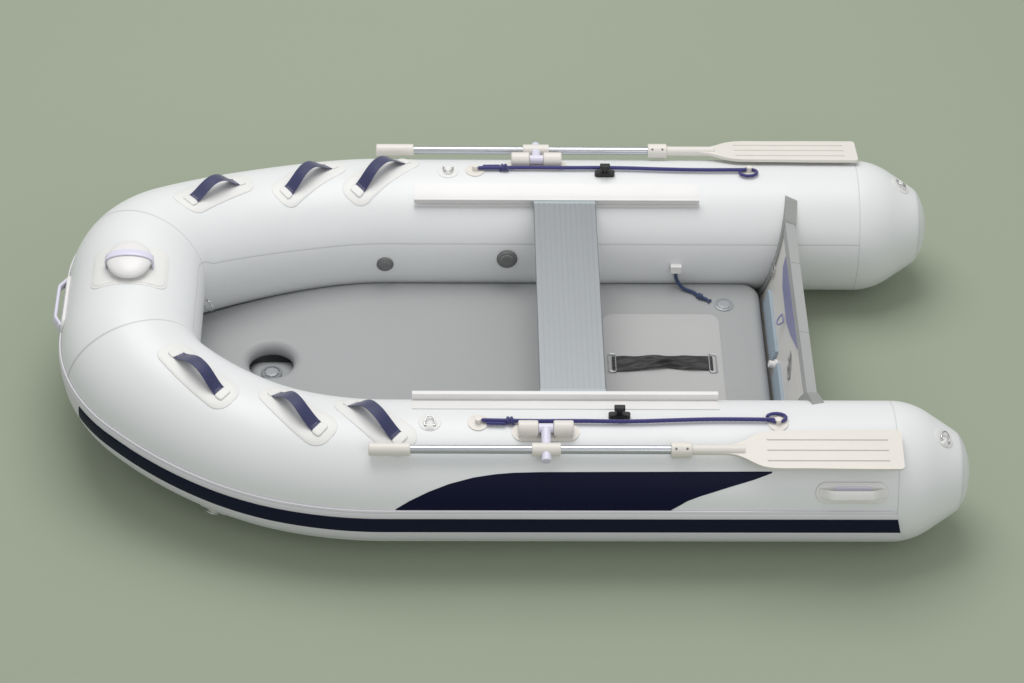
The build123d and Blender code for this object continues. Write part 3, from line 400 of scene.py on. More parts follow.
def tube_patch(name, place, outline, height=PATCH, edge=0.0012, skew=0.0, lift=SKIN, crown=0.0, shift=(0, 0)):
    """A patch glued on a tube, with a soft edge and, with a crown, a raised middle."""
    size = float(np.abs(outline).max())
    rings = []
    for ring in patch_rings(outline, patch_steps(size, height, edge, lift, crown)):
        forward, up = skewed(ring[:, 0] + shift[0], ring[:, 1] + shift[1], skew)
        rings.append(laid(place, forward, up, ring[:, 2]))
    return ring_piece(name, rings, angle=50)


print("builders ready")

# %% [markdown]
# ## Finishes
# A helper adds nodes by name, and one recipe covers the many moulded and coated surfaces: a colour that
# drifts a little, a fine grain for the bump, and a roughness that varies with scuffs. Woven straps,
# braided rope and brushed metal need patterns of their own.

# %% Material helpers
def srgb(red, green, blue):
    """A colour given in sRGB, as the linear values that shaders want."""
    parts = [v / 255 for v in (red, green, blue)]
    return tuple(v / 12.92 if v <= 0.04 else ((v + 0.055) / 1.055) ** 2.4 for v in parts) + (1.0,)


class Finish:
    """A node material under construction."""

    def __init__(self, name, roughness=0.5, metallic=0.0, coat=0.0, sheen=0.0):
        self.material = bpy.data.materials.new(name)
        self.material.use_nodes = True
        self.tree = self.material.node_tree
        self.shader = self.tree.nodes["Principled BSDF"]
        self.shader.inputs["Roughness"].default_value = roughness
        self.shader.inputs["Metallic"].default_value = metallic
        self.shader.inputs["Coat Weight"].default_value = coat
        self.shader.inputs["Coat Roughness"].default_value = 0.25
        self.shader.inputs["Sheen Weight"].default_value = sheen

    def add(self, kind, settings=(), **inputs):
        """A node with its settings, and its inputs set or linked by name."""
        made = self.tree.nodes.new(kind)
        for key, value in dict(settings).items():
            setattr(made, key, value)
        for key, value in inputs.items():
            socket = made.inputs[int(key[1:])] if key[0] == "_" else made.inputs[key.replace("_", " ")]
            if isinstance(value, bpy.types.NodeSocket):
                self.tree.links.new(value, socket)
            else:
                socket.default_value = value
        return made

    def coords(self, which="Object", scale=(1, 1, 1)):
        """Object or UV coordinates, stretched by scale."""
        source = self.add("ShaderNodeTexCoord").outputs[which]
        return self.add("ShaderNodeMapping", Vector=source, Scale=scale).outputs[0]

    def noise(self, vector, scale, detail=3.0, rough=0.5):
        """A noise value from 0 to 1."""
        node = self.add("ShaderNodeTexNoise", Vector=vector, Scale=scale, Detail=detail, Roughness=rough)
        return node.outputs[0]

    def spread(self, value, low, high):
        """A 0 to 1 value spread between low and high."""
        return self.add("ShaderNodeMapRange", Value=value, To_Min=low, To_Max=high).outputs[0]

    def math(self, operation, first, second=0.0):
        """Two values put through one operation."""
        return self.add("ShaderNodeMath", {"operation": operation}, _0=first, _1=second).outputs[0]

    def blend(self, part, first, second):
        """A colour between first and second."""
        mix = self.add("ShaderNodeMix", {"data_type": "RGBA"}, _0=part, _6=first, _7=second)
        return mix.outputs[2]

    def set(self, **links):
        """Link values to the shader's inputs."""
        for key, value in links.items():
            self.tree.links.new(value, self.shader.inputs[key.replace("_", " ")])
        return self

    def bump(self, height, strength, distance):
        """Raise the surface by height over distance in metres."""
        made = self.add("ShaderNodeBump", Height=height, Strength=strength, Distance=distance)
        self.tree.links.new(made.outputs[0], self.shader.inputs["Normal"])
        return self


def shaded(colour, factor):
    """A colour made darker or lighter."""
    return tuple(min(1.0, c * factor) for c in colour[:3]) + (1.0,)


def moulded(name, colour, roughness=0.42, grain=900.0, relief=0.00006, drift=0.04, scuff=0.12, coat=0.0):
    """A moulded or coated surface: drifting colour, fine grain, scuffed gloss."""
    finish = Finish(name, roughness=roughness, coat=coat)
    place = finish.coords()
    slow = finish.noise(place, 7.0)
    finish.set(Base_Color=finish.blend(slow, shaded(colour, 1 - drift), shaded(colour, 1 + drift)))
    scuffs = finish.noise(place, 60.0, detail=5.0, rough=0.65)
    finish.set(Roughness=finish.spread(scuffs, roughness - scuff / 2, roughness + scuff / 2))
    finish.bump(finish.noise(place, grain, detail=2.0), 0.35, relief)
    return finish.material


def dress(material, *nodes):
    """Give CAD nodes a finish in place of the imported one."""
    for node in nodes:
        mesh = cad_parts[node].data
        mesh.materials.clear()
        mesh.materials.append(material)


def both(*names):
    """Node names on both sides of the boat."""
    return [f"{side}_{name}" for side in SIDES for name in names]


print("finishes can be built")

# %% [markdown]
# ## Coated fabric
# The tubes are PVC cloth: almost white, satin, with a very fine weave under the coating. The seam
# attribute lays faint grey lines: the glue lines' own grey and painted shade at the lap edge and in weld
# grooves. The floor is the same cloth in grey, slightly duller.

# %% Fabric finishes
def coated_fabric(name, colour, seam_glue_and_shade_colour, roughness=0.4, weave=1400.0, relief=0.00005, drift=0.02):
    """PVC cloth: slow colour drift, seam lines in glue grey and painted shade, a fine weave in the bump."""
    finish = Finish(name, roughness=roughness)
    place = finish.coords()
    body = finish.blend(finish.noise(place, 3.0), shaded(colour, 1 - drift), shaded(colour, 1 + drift))
    # Seam lines: the glue's own grey and painted shade at the lap edge and in weld grooves.
    line = finish.add("ShaderNodeAttribute", {"attribute_name": "seam"}).outputs["Fac"]
    finish.set(Base_Color=finish.blend(line, body, seam_glue_and_shade_colour))
    grain = finish.noise(place, 35.0, detail=5.0)
    finish.set(Roughness=finish.spread(grain, roughness - 0.06, roughness + 0.06))
    threads = finish.add("ShaderNodeTexVoronoi", {"distance": "CHEBYCHEV"}, Vector=place, Scale=weave)
    slack = finish.noise(place, 9.0, detail=2.0)
    fine, broad = finish.math("MULTIPLY", threads.outputs[0], 0.5), finish.math("MULTIPLY", slack, 6.0)
    finish.bump(finish.math("ADD", fine, broad), 0.25, relief)
    return finish.material


TUBE_WHITE = srgb(228, 230, 231)
DECK_GREY = srgb(162, 164, 165)
# The second colour is for seam lines, glue grey and painted shade; only tube skins carry them.
tube_fabric = coated_fabric("tube_fabric", TUBE_WHITE, srgb(176, 176, 176))
patch_fabric = coated_fabric("patch_fabric", srgb(229, 229, 227), srgb(196, 196, 194), roughness=0.46)
deck_fabric = coated_fabric("deck_fabric", DECK_GREY, srgb(128, 130, 132), roughness=0.5, relief=0.00008)
panel_fabric = coated_fabric("panel_fabric", srgb(180, 181, 180), srgb(140, 141, 141), roughness=0.5)
bottom_fabric = coated_fabric("bottom_fabric", srgb(160, 163, 165), srgb(128, 130, 132), roughness=0.5)
print("coated fabrics made")

# %% [markdown]
# ## Moulded parts, paint and metal
# Most fittings are moulded: cream oars, lavender-white handles and pins, grey edging, black cleats. The
# shaft and the bench are aluminium. The bench's brushing runs along the plank, so its noise is stretched
# that way, and the shaft's is stretched along the boat.

# %% Moulded, painted and metal finishes
white_moulding = moulded("white_moulding", srgb(231, 230, 229), roughness=0.34)
lilac_moulding = moulded("lilac_moulding", srgb(221, 219, 236), roughness=0.3)
cream_moulding = moulded("cream_moulding", srgb(226, 222, 215), roughness=0.4)
cap_plastic = moulded("cap_plastic", srgb(172, 183, 186), roughness=0.3)
grey_trim = moulded("grey_trim", srgb(164, 166, 165), roughness=0.5)
holder_grey = moulded("holder_grey", srgb(150, 152, 150), roughness=0.55)
pad_lavender = moulded("pad_lavender", srgb(131, 132, 168), roughness=0.42)
strip_blue = moulded("strip_blue", srgb(157, 172, 184), roughness=0.55, grain=500.0)
rail_white = moulded("rail_white", srgb(222, 220, 226), roughness=0.4)
rail_navy = moulded("rail_navy", srgb(16, 22, 46), roughness=0.5)
navy_film = moulded("navy_film", srgb(9, 14, 44), roughness=0.45, grain=1500.0, relief=0.00003)
black_plastic = moulded("black_plastic", srgb(22, 22, 23), roughness=0.38, drift=0.15)
valve_grey = moulded("valve_grey", srgb(112, 113, 113), roughness=0.45)
clear_grey = moulded("clear_grey", srgb(158, 162, 166), roughness=0.22, coat=0.4)


def coated_board():
    """The transom: plywood under an off-white coating, with a faint ripple of the wood."""
    finish = Finish("coated_board", roughness=0.36)
    place = finish.coords(scale=(60.0, 3.0, 60.0))
    grain = finish.noise(place, 1.0, detail=6.0)
    finish.set(Base_Color=finish.blend(grain, srgb(209, 207, 203), srgb(219, 217, 213)))
    finish.bump(grain, 0.2, 0.0002)
    return finish.material


def brushed(name, colour, stretch, roughness, strength=0.35, lines=(0.9, 1.06)):
    """Aluminium with its brushing stretched along the piece."""
    finish = Finish(name, roughness=roughness, metallic=0.85)
    place = finish.coords(scale=stretch)
    hair = finish.noise(place, 1.0, detail=4.0, rough=0.7)
    finish.set(Base_Color=finish.blend(hair, shaded(colour, lines[0]), shaded(colour, lines[1])))
    finish.set(Roughness=finish.spread(hair, roughness - 0.08, roughness + 0.1))
    finish.bump(hair, strength, 0.00004)
    return finish.material


board_paint = coated_board()
plank_metal = brushed("plank_metal", srgb(156, 160, 163), (900.0, 1.2, 900.0), 0.42)
shaft_metal = brushed("shaft_metal", srgb(196, 199, 204), (1.5, 700.0, 700.0), 0.26)
steel = brushed("steel", srgb(206, 207, 208), (60.0, 60.0, 60.0), 0.16, strength=0.1)
for navy_finish in (rail_navy, navy_film):
    navy_finish.node_tree.nodes["Principled BSDF"].inputs["Specular IOR Level"].default_value = 0.13
print("moulded, painted and metal finishes made")

# %% [markdown]
# ## Woven straps and braided rope
# Webbing shows ribs across it, and rope shows a diagonal plait; each lays a lighter colour on its raised
# threads as a painted highlight. Both patterns must follow the piece round its bends, so they read its UV
# map, whose first axis runs along it in metres.

# %% Woven finishes
def webbing(name, colour, painted_shine, pitch=0.0016, sheen=0.4):
    """Nylon webbing: ribs across, a twill along, painted highlights on them, and a sheen on the threads."""
    finish = Finish(name, roughness=0.5, sheen=sheen)
    place = finish.coords("UV", (1 / pitch, 1 / pitch, 1))
    ribs = finish.add("ShaderNodeTexWave", {"bands_direction": "X"}, Vector=place, Scale=0.31, Distortion=0.6)
    twill = finish.add("ShaderNodeTexWave", {"bands_direction": "DIAGONAL"}, Vector=place, Scale=0.5)
    cloth = finish.math("ADD", finish.math("MULTIPLY", ribs.outputs[1], 0.6),
                        finish.math("MULTIPLY", twill.outputs[1], 0.4))
    worn = finish.noise(finish.coords(), 26.0, detail=4.0)
    tint = finish.math("MULTIPLY", cloth, finish.spread(worn, 0.5, 1.2))
    # Raised threads take the lighter colour, a painted highlight; the worn noise varies it in patches.
    finish.set(Base_Color=finish.blend(tint, colour, painted_shine))
    finish.bump(cloth, 0.6, 0.0003)
    return finish.material


def braid(name, colour, painted_shine, pitch=0.006):
    """Braided rope: two diagonal families of strands."""
    finish = Finish(name, roughness=0.55, sheen=0.5)
    left = finish.add("ShaderNodeTexWave", {"bands_direction": "DIAGONAL"},
                      Vector=finish.coords("UV", (1 / pitch, 1 / pitch, 1)), Scale=0.4).outputs[1]
    right = finish.add("ShaderNodeTexWave", {"bands_direction": "DIAGONAL"},
                       Vector=finish.coords("UV", (1 / pitch, -1 / pitch, 1)), Scale=0.4).outputs[1]
    plait = finish.math("MAXIMUM", left, right)
    # The strands' crowns take the lighter colour, a painted highlight.
    finish.set(Base_Color=finish.blend(plait, colour, painted_shine))
    finish.bump(plait, 0.7, 0.0005)
    return finish.material


# Each second colour is the painted highlight on the raised threads.
navy_webbing = webbing("navy_webbing", srgb(20, 24, 58), srgb(45, 53, 112))
black_webbing = webbing("black_webbing", srgb(17, 17, 18), srgb(44, 44, 46), sheen=0.15)
navy_rope = braid("navy_rope", srgb(23, 22, 76), srgb(44, 41, 122))
tether_rope = braid("tether_rope", srgb(8, 26, 60), srgb(22, 52, 100))
thread = moulded("thread", srgb(214, 214, 212), roughness=0.7)
print("woven finishes made")

# %% [markdown]
# ## The grab lines and the tether
# A rope is a fixed length on one smooth line. Its route is a NURBS curve through the same control points
# as the frame's solid: the grab line lies on the tube from eye to eye with a little slack, and the tether
# drops from its clip and lies on the floor. The braid is a tube of rings that follow the curve.

# %% Ropes
ROPE = 0.012                  # its diameter
ROPE_LIFT = 0.005             # how far its underside stands off the tube
EYE_STATIONS = (1.450, 0.580)
EYE_RADIUS = 0.009
ROPE_OFFSETS = (0.015, 0.019, 0.017, 0.020, 0.013, 0.008, 0.011)    # outboard of the tube's top line
depsgraph = bpy.context.evaluated_depsgraph_get


def route_curve(name, points):
    """A smooth NURBS line with these control points."""
    curve = bpy.data.curves.new(name, "CURVE")
    curve.dimensions = "3D"
    curve.resolution_u = 16
    spline = curve.splines.new("NURBS")
    spline.points.add(len(points) - 1)
    for point, place in zip(spline.points, points):
        point.co = (*place, 1.0)
    spline.order_u = 3
    spline.use_endpoint_u = True
    route = bpy.data.objects.new(name, curve)
    bpy.context.scene.collection.objects.link(route)
    return route


def curve_line(route):
    """The points of a route's smooth line; the curve itself is then removed."""
    mesh = bpy.data.meshes.new_from_object(route.evaluated_get(depsgraph()))
    line = np.array([v.co for v in mesh.vertices])
    bpy.data.meshes.remove(mesh)
    bpy.data.objects.remove(route)
    return line


def evenly(line, gap):
    """The same line with its points a gap apart."""
    places = np.concatenate([[0], np.cumsum(np.linalg.norm(np.diff(line, axis=0), axis=1))])
    count = max(2, int(places[-1] / gap) + 1)
    wanted = np.linspace(0, places[-1], count)
    return np.stack([np.interp(wanted, places, line[:, k]) for k in range(3)], -1), wanted


def turning_frames(line):
    """Two directions across a line at each point, carried along without twist."""
    ahead = unit(np.gradient(line, axis=0))
    first = unit(np.cross(ahead[0], [0.3, 0.5, 0.8]))
    sides = [first]
    for heading in ahead[1:]:
        sides.append(unit(sides[-1] - heading * (sides[-1] @ heading)))
    sides = np.array(sides)
    return sides, np.cross(ahead, sides)


def braided(name, line, diameter, strands=8, lay=0.016, size=32, gap=0.0015, taper=None):
    """A braided rope along a line: rings whose skin rises where strands cross over."""
    line, places = evenly(line, gap)
    first, second = turning_frames(line)
    turns = np.arange(size) * 2 * pi / size
    phase = 2 * pi * places[:, None] / lay
    wave = np.maximum(np.cos(strands / 2 * turns + phase), np.cos(strands / 2 * turns - phase))
    radius = diameter / 2 * (1 + 0.07 * (wave - 0.5))
    if taper is not None:
        radius = radius * taper(places / places[-1])[:, None]
    rings = line[:, None] + radius[..., None] * (np.cos(turns)[:, None] * first[:, None]
                                                 + np.sin(turns)[:, None] * second[:, None])
    return ring_piece(name, rings, along=places, around=turns * diameter / 2), line


def blunt(places):
    """A rope's ends, drawn in over the last few hundredths."""
    near = np.minimum(places, 1 - places) / 0.006
    return np.clip(np.sqrt(np.clip(near, 0, 1)) * 0.5 + 0.5, 0.5, 1)


def rope_route(side):
    """The grab line's control points, from the fore eye to the aft eye."""
    fore, aft = (station(place) for place in EYE_STATIONS)
    fore, aft = fore - EYE_RADIUS - SKIN, aft + EYE_RADIUS + SKIN
    lift = TUBE_RADIUS + ROPE / 2 + ROPE_LIFT
    points = []
    for n, offset in enumerate(ROPE_OFFSETS):
        x = fore + (aft - fore) * n / (len(ROPE_OFFSETS) - 1)
        points.append((x, side * (HALF_SPACING + offset), TUBE_RADIUS + sqrt(lift ** 2 - offset ** 2)))
    return points


ropes, rope_lines = {}, {}
for side_name, side in SIDES.items():
    rope_lines[side_name] = curve_line(route_curve(f"{side_name}_route", rope_route(side)))
    ropes[side_name], _ = braided(f"{side_name}_grab_rope", rope_lines[side_name], ROPE, taper=blunt)
    ropes[side_name].data.materials.append(navy_rope)
print("grab lines made:", [len(r.data.polygons) for r in ropes.values()], "faces")

# %% [markdown]
# ## The tubes' skins
# An inflated tube is round to a fraction of a millimetre, so its skin is plain rings along the hull line.
# What tells a real tube from a pipe is its cutting plan: a lap seam runs along the inner side, and a
# welded seam crosses each shoulder of the bow, a little aft of where the bow straightens. A weld shows as
# one fine line, so the rings lie close together there, and the seam attribute colours it and the lap
# edge with glue grey and painted shade.

# %% Tube skins
RING_GAP = 0.014
LAP_ANGLE = 158.0             # of the lap seam, on the inner side
WELD_BACK = 0.097             # from a bow seam's place on the frame back to the weld
WELD_DEPTH = 0.0005
WELD_HALF = 0.0016
EDGE_RINGS = (0.0008, 0.0016, 0.004)


def skin_angles():
    """Angles round the tube: even, with close ones at the lap seam."""
    close = [LAP_ANGLE + shift for shift in (-0.8, -0.4, 0, 0.4, 0.8)]
    return np.array(sorted(set(np.arange(0, 360, 3.0)) | set(close)))


def along_places(start, end):
    """Distances along the line: even, with close ones at the ends."""
    places = list(np.linspace(start, end, int((end - start) / RING_GAP) + 1))
    places += [edge + way * shift for edge, way in ((start, 1), (end, -1)) for shift in EDGE_RINGS]
    return np.array(sorted(places))


def tube_skin(name, start, end, side=1):
    """One length of tube between two places, with its lap seam and drawn-in ends."""
    places, angles = along_places(start, end), skin_angles()
    along, turn = np.meshgrid(places, angles, indexing="ij")
    lap = np.exp(-((turn - LAP_ANGLE) / 0.45) ** 2)
    weld = np.exp(-(np.minimum(along - places[0], places[-1] - along) / WELD_HALF) ** 2)
    rings = on_tube(side, along, turn, -WELD_DEPTH * np.maximum(0.6 * lap, weld))
    # The seam values colour the lap edge and the weld grooves: glue grey and painted shade.
    return ring_piece(name, rings, along=places, around=np.radians(angles) * TUBE_RADIUS,
                      seam=np.maximum(0.7 * lap, 0.8 * weld), angle=60)


WELD = SEAM - WELD_BACK
skins = {}
for side_name, side in SIDES.items():
    skins[side_name] = settle(tube_skin(f"{side_name}_tube_skin", 0.0, WELD, side), "tube_fabric",
                              f"{side_name}_tube", finish=tube_fabric)
skins["bow"] = settle(tube_skin("bow_tube_skin", WELD, WHOLE - WELD), "tube_fabric", "bow_tube",
                      finish=tube_fabric)
print("tube skins:", {name: len(skin.data.polygons) for name, skin in skins.items()})

# %% [markdown]
# ## The stern cones
# Each tube ends in a cone closed by a domed cap. Pressure makes cloth take a round shoulder where tube
# runs into cone, then a straight slope, then the dome; the profile is those three runs in turn, and a
# faint weld goes round where the cap starts: a shallow groove, darkened with glue grey and painted shade.

# %% Stern cones
SHOULDER, SLOPE = 0.200, radians(33.4)
CAP_RADIUS = 0.115
CAP_ROUND = 0.010             # how far the soft corner reaches on each side of the cap's weld
CAP_GROOVE = 0.0014


def cone_profile():
    """Distances aft of the wide end and radii, from the tube to the middle of the cap."""
    turns = np.linspace(0, SLOPE, 22)
    back, radius = SHOULDER * np.sin(turns), TUBE_RADIUS - SHOULDER * (1 - np.cos(turns))
    cap_back = back[-1] + (radius[-1] - CAP_RADIUS) / tan(SLOPE)
    straight = np.linspace(0, 1, 16)[1:]
    depth = CONE_LENGTH - cap_back
    ball = (CAP_RADIUS ** 2 + depth ** 2) / (2 * depth)
    dome = np.linspace(1, 0.03, 26)[1:] * np.arcsin(CAP_RADIUS / ball)
    back = np.concatenate([back, back[-1] + (cap_back - back[-1]) * straight,
                           CONE_LENGTH - ball * (1 - np.cos(dome))])
    radius = np.concatenate([radius, radius[-1] + (CAP_RADIUS - radius[-1]) * straight, ball * np.sin(dome)])
    radius = radius - CAP_GROOVE * np.exp(-((back - cap_back) / CAP_ROUND) ** 2)
    return back, radius, cap_back


def cone_skin(name, side):
    """A stern cone as rings that shrink towards the cap."""
    back, radius, cap_back = cone_profile()
    turns = np.arange(120) * 2 * pi / 120
    rings = np.stack(together((cone_x - back)[:, None],
                              side * HALF_SPACING + radius[:, None] * np.cos(turns),
                              TUBE_RADIUS + radius[:, None] * np.sin(turns)), -1)
    # A faint grey line at the cap's groove: glue grey and painted shade.
    seam = 0.35 * np.exp(-((back - cap_back) / 0.004) ** 2)
    return ring_piece(name, rings, seam=seam[:, None], angle=40)


for side_name, side in SIDES.items():
    cone = cone_skin(f"{side_name}_cone_skin", side)
    settle(cone, "tube_fabric", f"{side_name}_stern_cone", finish=tube_fabric)
print("cones made")

# %% [markdown]
# ## The air floor
# The floor is two sheets of cloth held parallel by threads, so it is flat, with a half round edge where
# the rim tape bulges out. Where the tubes turn in and climb, the floor's edge reaches further under them:
# at each place on the bend the edge is set by the round edge just touching the tube. The hole over the
# keel's valve has the same half round wall, like a funnel seen from above.

# %% Air floor
DECK_BOTTOM, DECK_THICK = 0.072, 0.060
DECK_EDGE = DECK_THICK / 2
DECK_AFT, DECK_CORNER = 0.545, 0.060
DECK_GAP, DECK_BOW_GAP = 0.0012, 0.0025
HOLE_X, HOLE_RADIUS = bow_axis_x - 0.411, 0.068


def floor_line(count=64):
    """The floor's plan as a ring of points."""
    bend_start = turn_x - cone_x
    part = np.linspace(0, 1, count)
    axis, ahead, outboard, _ = line_frame(bend_start + (SEAM - bend_start) * part)
    above = (axis[:, 2] - DECK_BOTTOM - DECK_EDGE) * np.hypot(ahead[:, 0], ahead[:, 1])
    reach = TUBE_RADIUS + DECK_EDGE + DECK_GAP + DECK_BOW_GAP * part
    bend = axis - outboard * (np.sqrt(reach ** 2 - above ** 2) - DECK_EDGE)[:, None]
    aft, wide = station(DECK_AFT), bend[0, 1]
    half = [(aft + DECK_CORNER * (1 - cos(t)), wide - DECK_CORNER * (1 - sin(t)))
            for t in np.linspace(0, pi / 2, 9)]
    half += [(x, wide) for x in np.linspace(aft + DECK_CORNER, turn_x, 12)[1:-1]]
    half = np.concatenate([np.array(half), bend[:, :2]])
    return np.concatenate([half, (half * [1, -1])[::-1]])


def drawn_in(line, distance):
    """A ring of points moved inward by a distance."""
    ahead = unit(np.roll(line, -1, 0) - np.roll(line, 1, 0))
    area = np.sum(line[:, 0] * np.roll(line[:, 1], -1) - np.roll(line[:, 0], -1) * line[:, 1])
    inward = np.stack([-ahead[:, 1], ahead[:, 0]], -1) * np.sign(area)
    return line + inward * distance


def flat_area(work, loops):
    """Fill the flat area between rings of vertices with triangles."""
    edges = []
    for loop in loops:
        for first, second in zip(loop, loop[1:] + loop[:1]):
            edges.append(work.edges.get((first, second)) or work.edges.new((first, second)))
    bmesh.ops.triangle_fill(work, edges=edges, use_beauty=True, use_dissolve=False)


def ring_walls(work, rings):
    """Quads between neighbouring rings of vertices."""
    for lower, upper in zip(rings, rings[1:]):
        for n in range(len(lower)):
            on = (n + 1) % len(lower)
            work.faces.new((lower[n], lower[on], upper[on], upper[n]))


def vertex_ring(work, line, height):
    """A ring of vertices at a height."""
    return [work.verts.new((float(x), float(y), float(height))) for x, y in line]


deck_line = floor_line()
print("deck outline", deck_line.shape, "reaches", deck_line.min(0).round(3), deck_line.max(0).round(3))


def air_floor():
    """The deck: flat faces, half round edges outside and in the hole."""
    work = bmesh.new()
    middle = DECK_BOTTOM + DECK_EDGE
    turns = np.linspace(-pi / 2, pi / 2, 15)
    around = np.arange(64) * 2 * pi / 64
    circle = np.stack([np.cos(around), np.sin(around)], -1)
    rim, lip = [], []
    for turn in turns:
        away, height = DECK_EDGE * (1 - cos(turn)), middle + DECK_EDGE * sin(turn)
        rim.append(vertex_ring(work, drawn_in(deck_line, away), height))
        lip.append(vertex_ring(work, circle * (HOLE_RADIUS + away) + [HOLE_X, 0], height))
    ring_walls(work, rim)
    ring_walls(work, lip)
    flat_area(work, [rim[-1], lip[-1]])
    flat_area(work, [rim[0], lip[0]])
    mesh = bpy.data.meshes.new("deck_skin")
    work.to_mesh(mesh)
    work.free()
    piece = bpy.data.objects.new("deck_skin", mesh)
    bpy.context.scene.collection.objects.link(piece)
    return finish_mesh(piece, angle=35)


deck = settle(air_floor(), "deck_fabric", "air_deck", finish=deck_fabric)
print("deck made of", len(deck.data.polygons), "faces")

# %% [markdown]
# ## The bottom and the keel
# Under the floor the boat is closed by one sheet, drawn into a shallow V by an air keel. Seen from below
# it is a smooth skin that bulges a little over the keel. It is built as a grid: each row goes across the
# boat at one X, and the rows close up towards the bow.

# %% Bottom and keel
SHEET_ANGLE, SHEET_AFT, SHEET_THICK = 126.0, 0.560, 0.002
SHEET_FRONT, SHEET_FRONT_WIDTH = bow_axis_x - 0.055, 0.2066
KEEL_WIDTH, KEEL_AFT, KEEL_END = 0.150, 0.600, bow_axis_x - 0.332
CLEARANCE = 0.008
KEEL_LOW = CLEARANCE + SHEET_THICK + 2 * SKIN
KEEL_HIGH = DECK_BOTTOM - SKIN
KEEL_TAPER = 0.05             # how far each end of the keel draws in
KEEL_BULGE, BULGE_HALF = 0.003, 0.085
sheet_reach = TUBE_RADIUS + SKIN
sheet_edge_y = HALF_SPACING + sheet_reach * cos(radians(SHEET_ANGLE))
sheet_edge_z = TUBE_RADIUS - sheet_reach * sin(radians(SHEET_ANGLE))


def sheet_line(half_width, front_x, front_width, count=26):
    """The port edge of the bottom's plan: straight, then two arcs that follow the tubes."""
    first, _ = bow_radii(BOW_CURVE, HALF_SPACING - BOW_PIECE / 2, FIRST_TURN)
    first -= HALF_SPACING - half_width
    length, front = front_x - turn_x, front_width / 2
    across = first - (half_width - front)
    second = (first ** 2 - length ** 2 - across ** 2) / (2 * (first - length))
    angle = np.arctan2(length - second, across)
    easy, tight = np.linspace(0, angle, count), np.linspace(angle, pi / 2, count)[1:]
    line = [(station(SHEET_AFT), half_width)]
    line += [(turn_x + first * sin(t), half_width - first * (1 - cos(t))) for t in easy]
    line += [(front_x - second + second * sin(t), front + second * cos(t)) for t in tight]
    return np.array(line)


def sheet_rows(count=90):
    """Half widths and edge and middle heights of the bottom at places from aft to the bow."""
    half = sheet_line(sheet_edge_y, SHEET_FRONT, SHEET_FRONT_WIDTH)
    closing = 0.03
    xs = np.concatenate([np.linspace(station(SHEET_AFT), SHEET_FRONT - closing, count),
                         SHEET_FRONT - closing * np.linspace(1, 0, 8)[1:] ** 2])
    widths = np.interp(xs, half[:, 0], half[:, 1])
    keel_end = KEEL_END + 0.020
    under_deck = DECK_BOTTOM - SHEET_THICK - 0.004
    knots = [station(SHEET_AFT), bow_axis_x - RISE_LENGTH, keel_end, bow_axis_x - 0.112, bow_axis_x - 0.045]
    fore_end = 0.110          # the sheet's height where it closes at the bow
    raised = sheet_edge_z + rise_at(keel_end)
    edge = np.interp(xs, knots, [sheet_edge_z, sheet_edge_z, raised, under_deck, fore_end])
    middle = np.interp(xs, knots, [CLEARANCE, CLEARANCE, CLEARANCE, under_deck, fore_end])
    return xs, widths, edge, middle


def bottom_skin():
    """The bottom sheet with its soft V, as a thin closed piece."""
    xs, widths, edge, middle = sheet_rows()
    across = np.concatenate([np.linspace(-1, -0.2, 14), np.linspace(-0.16, 0.16, 9), np.linspace(0.2, 1, 14)])
    y = widths[:, None] * across
    flat = KEEL_WIDTH * 0.45
    out = np.clip((np.abs(y) - flat) / np.maximum(widths[:, None] - flat, 0.02), 0, 1)
    low = middle[:, None] + (edge - middle)[:, None] * out
    low -= KEEL_BULGE * np.clip(1 - (y / BULGE_HALF) ** 2, 0, 1) * (middle[:, None] < 0.02)
    xyz = np.stack([np.broadcast_to(xs[:, None], y.shape), y, low], -1)
    return film("bottom_skin", xyz, xyz + [0, 0, SHEET_THICK])


def keel_skin():
    """The keel's tube: an oval that draws in to a taped seam at each end."""
    start, end = station(KEEL_AFT), KEEL_END
    middle, high = (KEEL_LOW + KEEL_HIGH) / 2, (KEEL_HIGH - KEEL_LOW) / 2
    ends = KEEL_TAPER * np.linspace(0, 1, 9) ** 2
    level = KEEL_TAPER + 0.02
    places = np.concatenate([start + ends, np.linspace(start + level, end - level, 60), end - ends[::-1]])
    near = np.clip(np.minimum(places - start, end - places) / KEEL_TAPER, 0, 1)
    full = 0.3 + 0.7 * np.sqrt(1 - (1 - near) ** 2)
    turns = np.arange(56) * 2 * pi / 56
    aside = np.sign(np.cos(turns)) * np.abs(np.cos(turns)) ** 0.85
    upward = np.sign(np.sin(turns)) * np.abs(np.sin(turns)) ** 0.7
    rings = np.stack(together(places[:, None], KEEL_WIDTH / 2 * aside * full[:, None] ** 0.5,
                              middle + high * upward * full[:, None]), -1)
    return ring_piece("keel_skin", rings, angle=50)


settle(bottom_skin(), "deck_fabric", "bottom_sheet", finish=bottom_fabric)
keel = settle(keel_skin(), "deck_fabric", "keel", finish=bottom_fabric)
print("bottom and keel made")

# %% [markdown]
# ## The rub rail
# A rubber rail runs right round the outside, in three bands: a ridge on top, a dark stripe let into a
# groove, and a round lower lip. It has one section swept along one line, which is what Geometry Nodes
# do well: a curve to mesh with the section as its profile. The level direction of the hull line is the
# curve's own normal when that is set to Z up, so the section stays where it belongs all the way round.

# %% Rub rail
RAIL_AFT = 0.205
RAIL_SLANT = 0.034            # how much further forward the rail's top edge starts
STRIPE_STOP = SEAM - 0.150


def node_tree(name, inputs):
    """A Geometry Nodes tree with named inputs that makes one piece in one finish."""
    tree = bpy.data.node_groups.new(name, "GeometryNodeTree")
    for label, kind in inputs:
        tree.interface.new_socket(label, in_out="INPUT", socket_type=f"NodeSocket{kind}")
    tree.interface.new_socket("Piece", in_out="OUTPUT", socket_type="NodeSocketGeometry")
    return tree, tree.nodes.new("NodeGroupInput"), tree.nodes.new


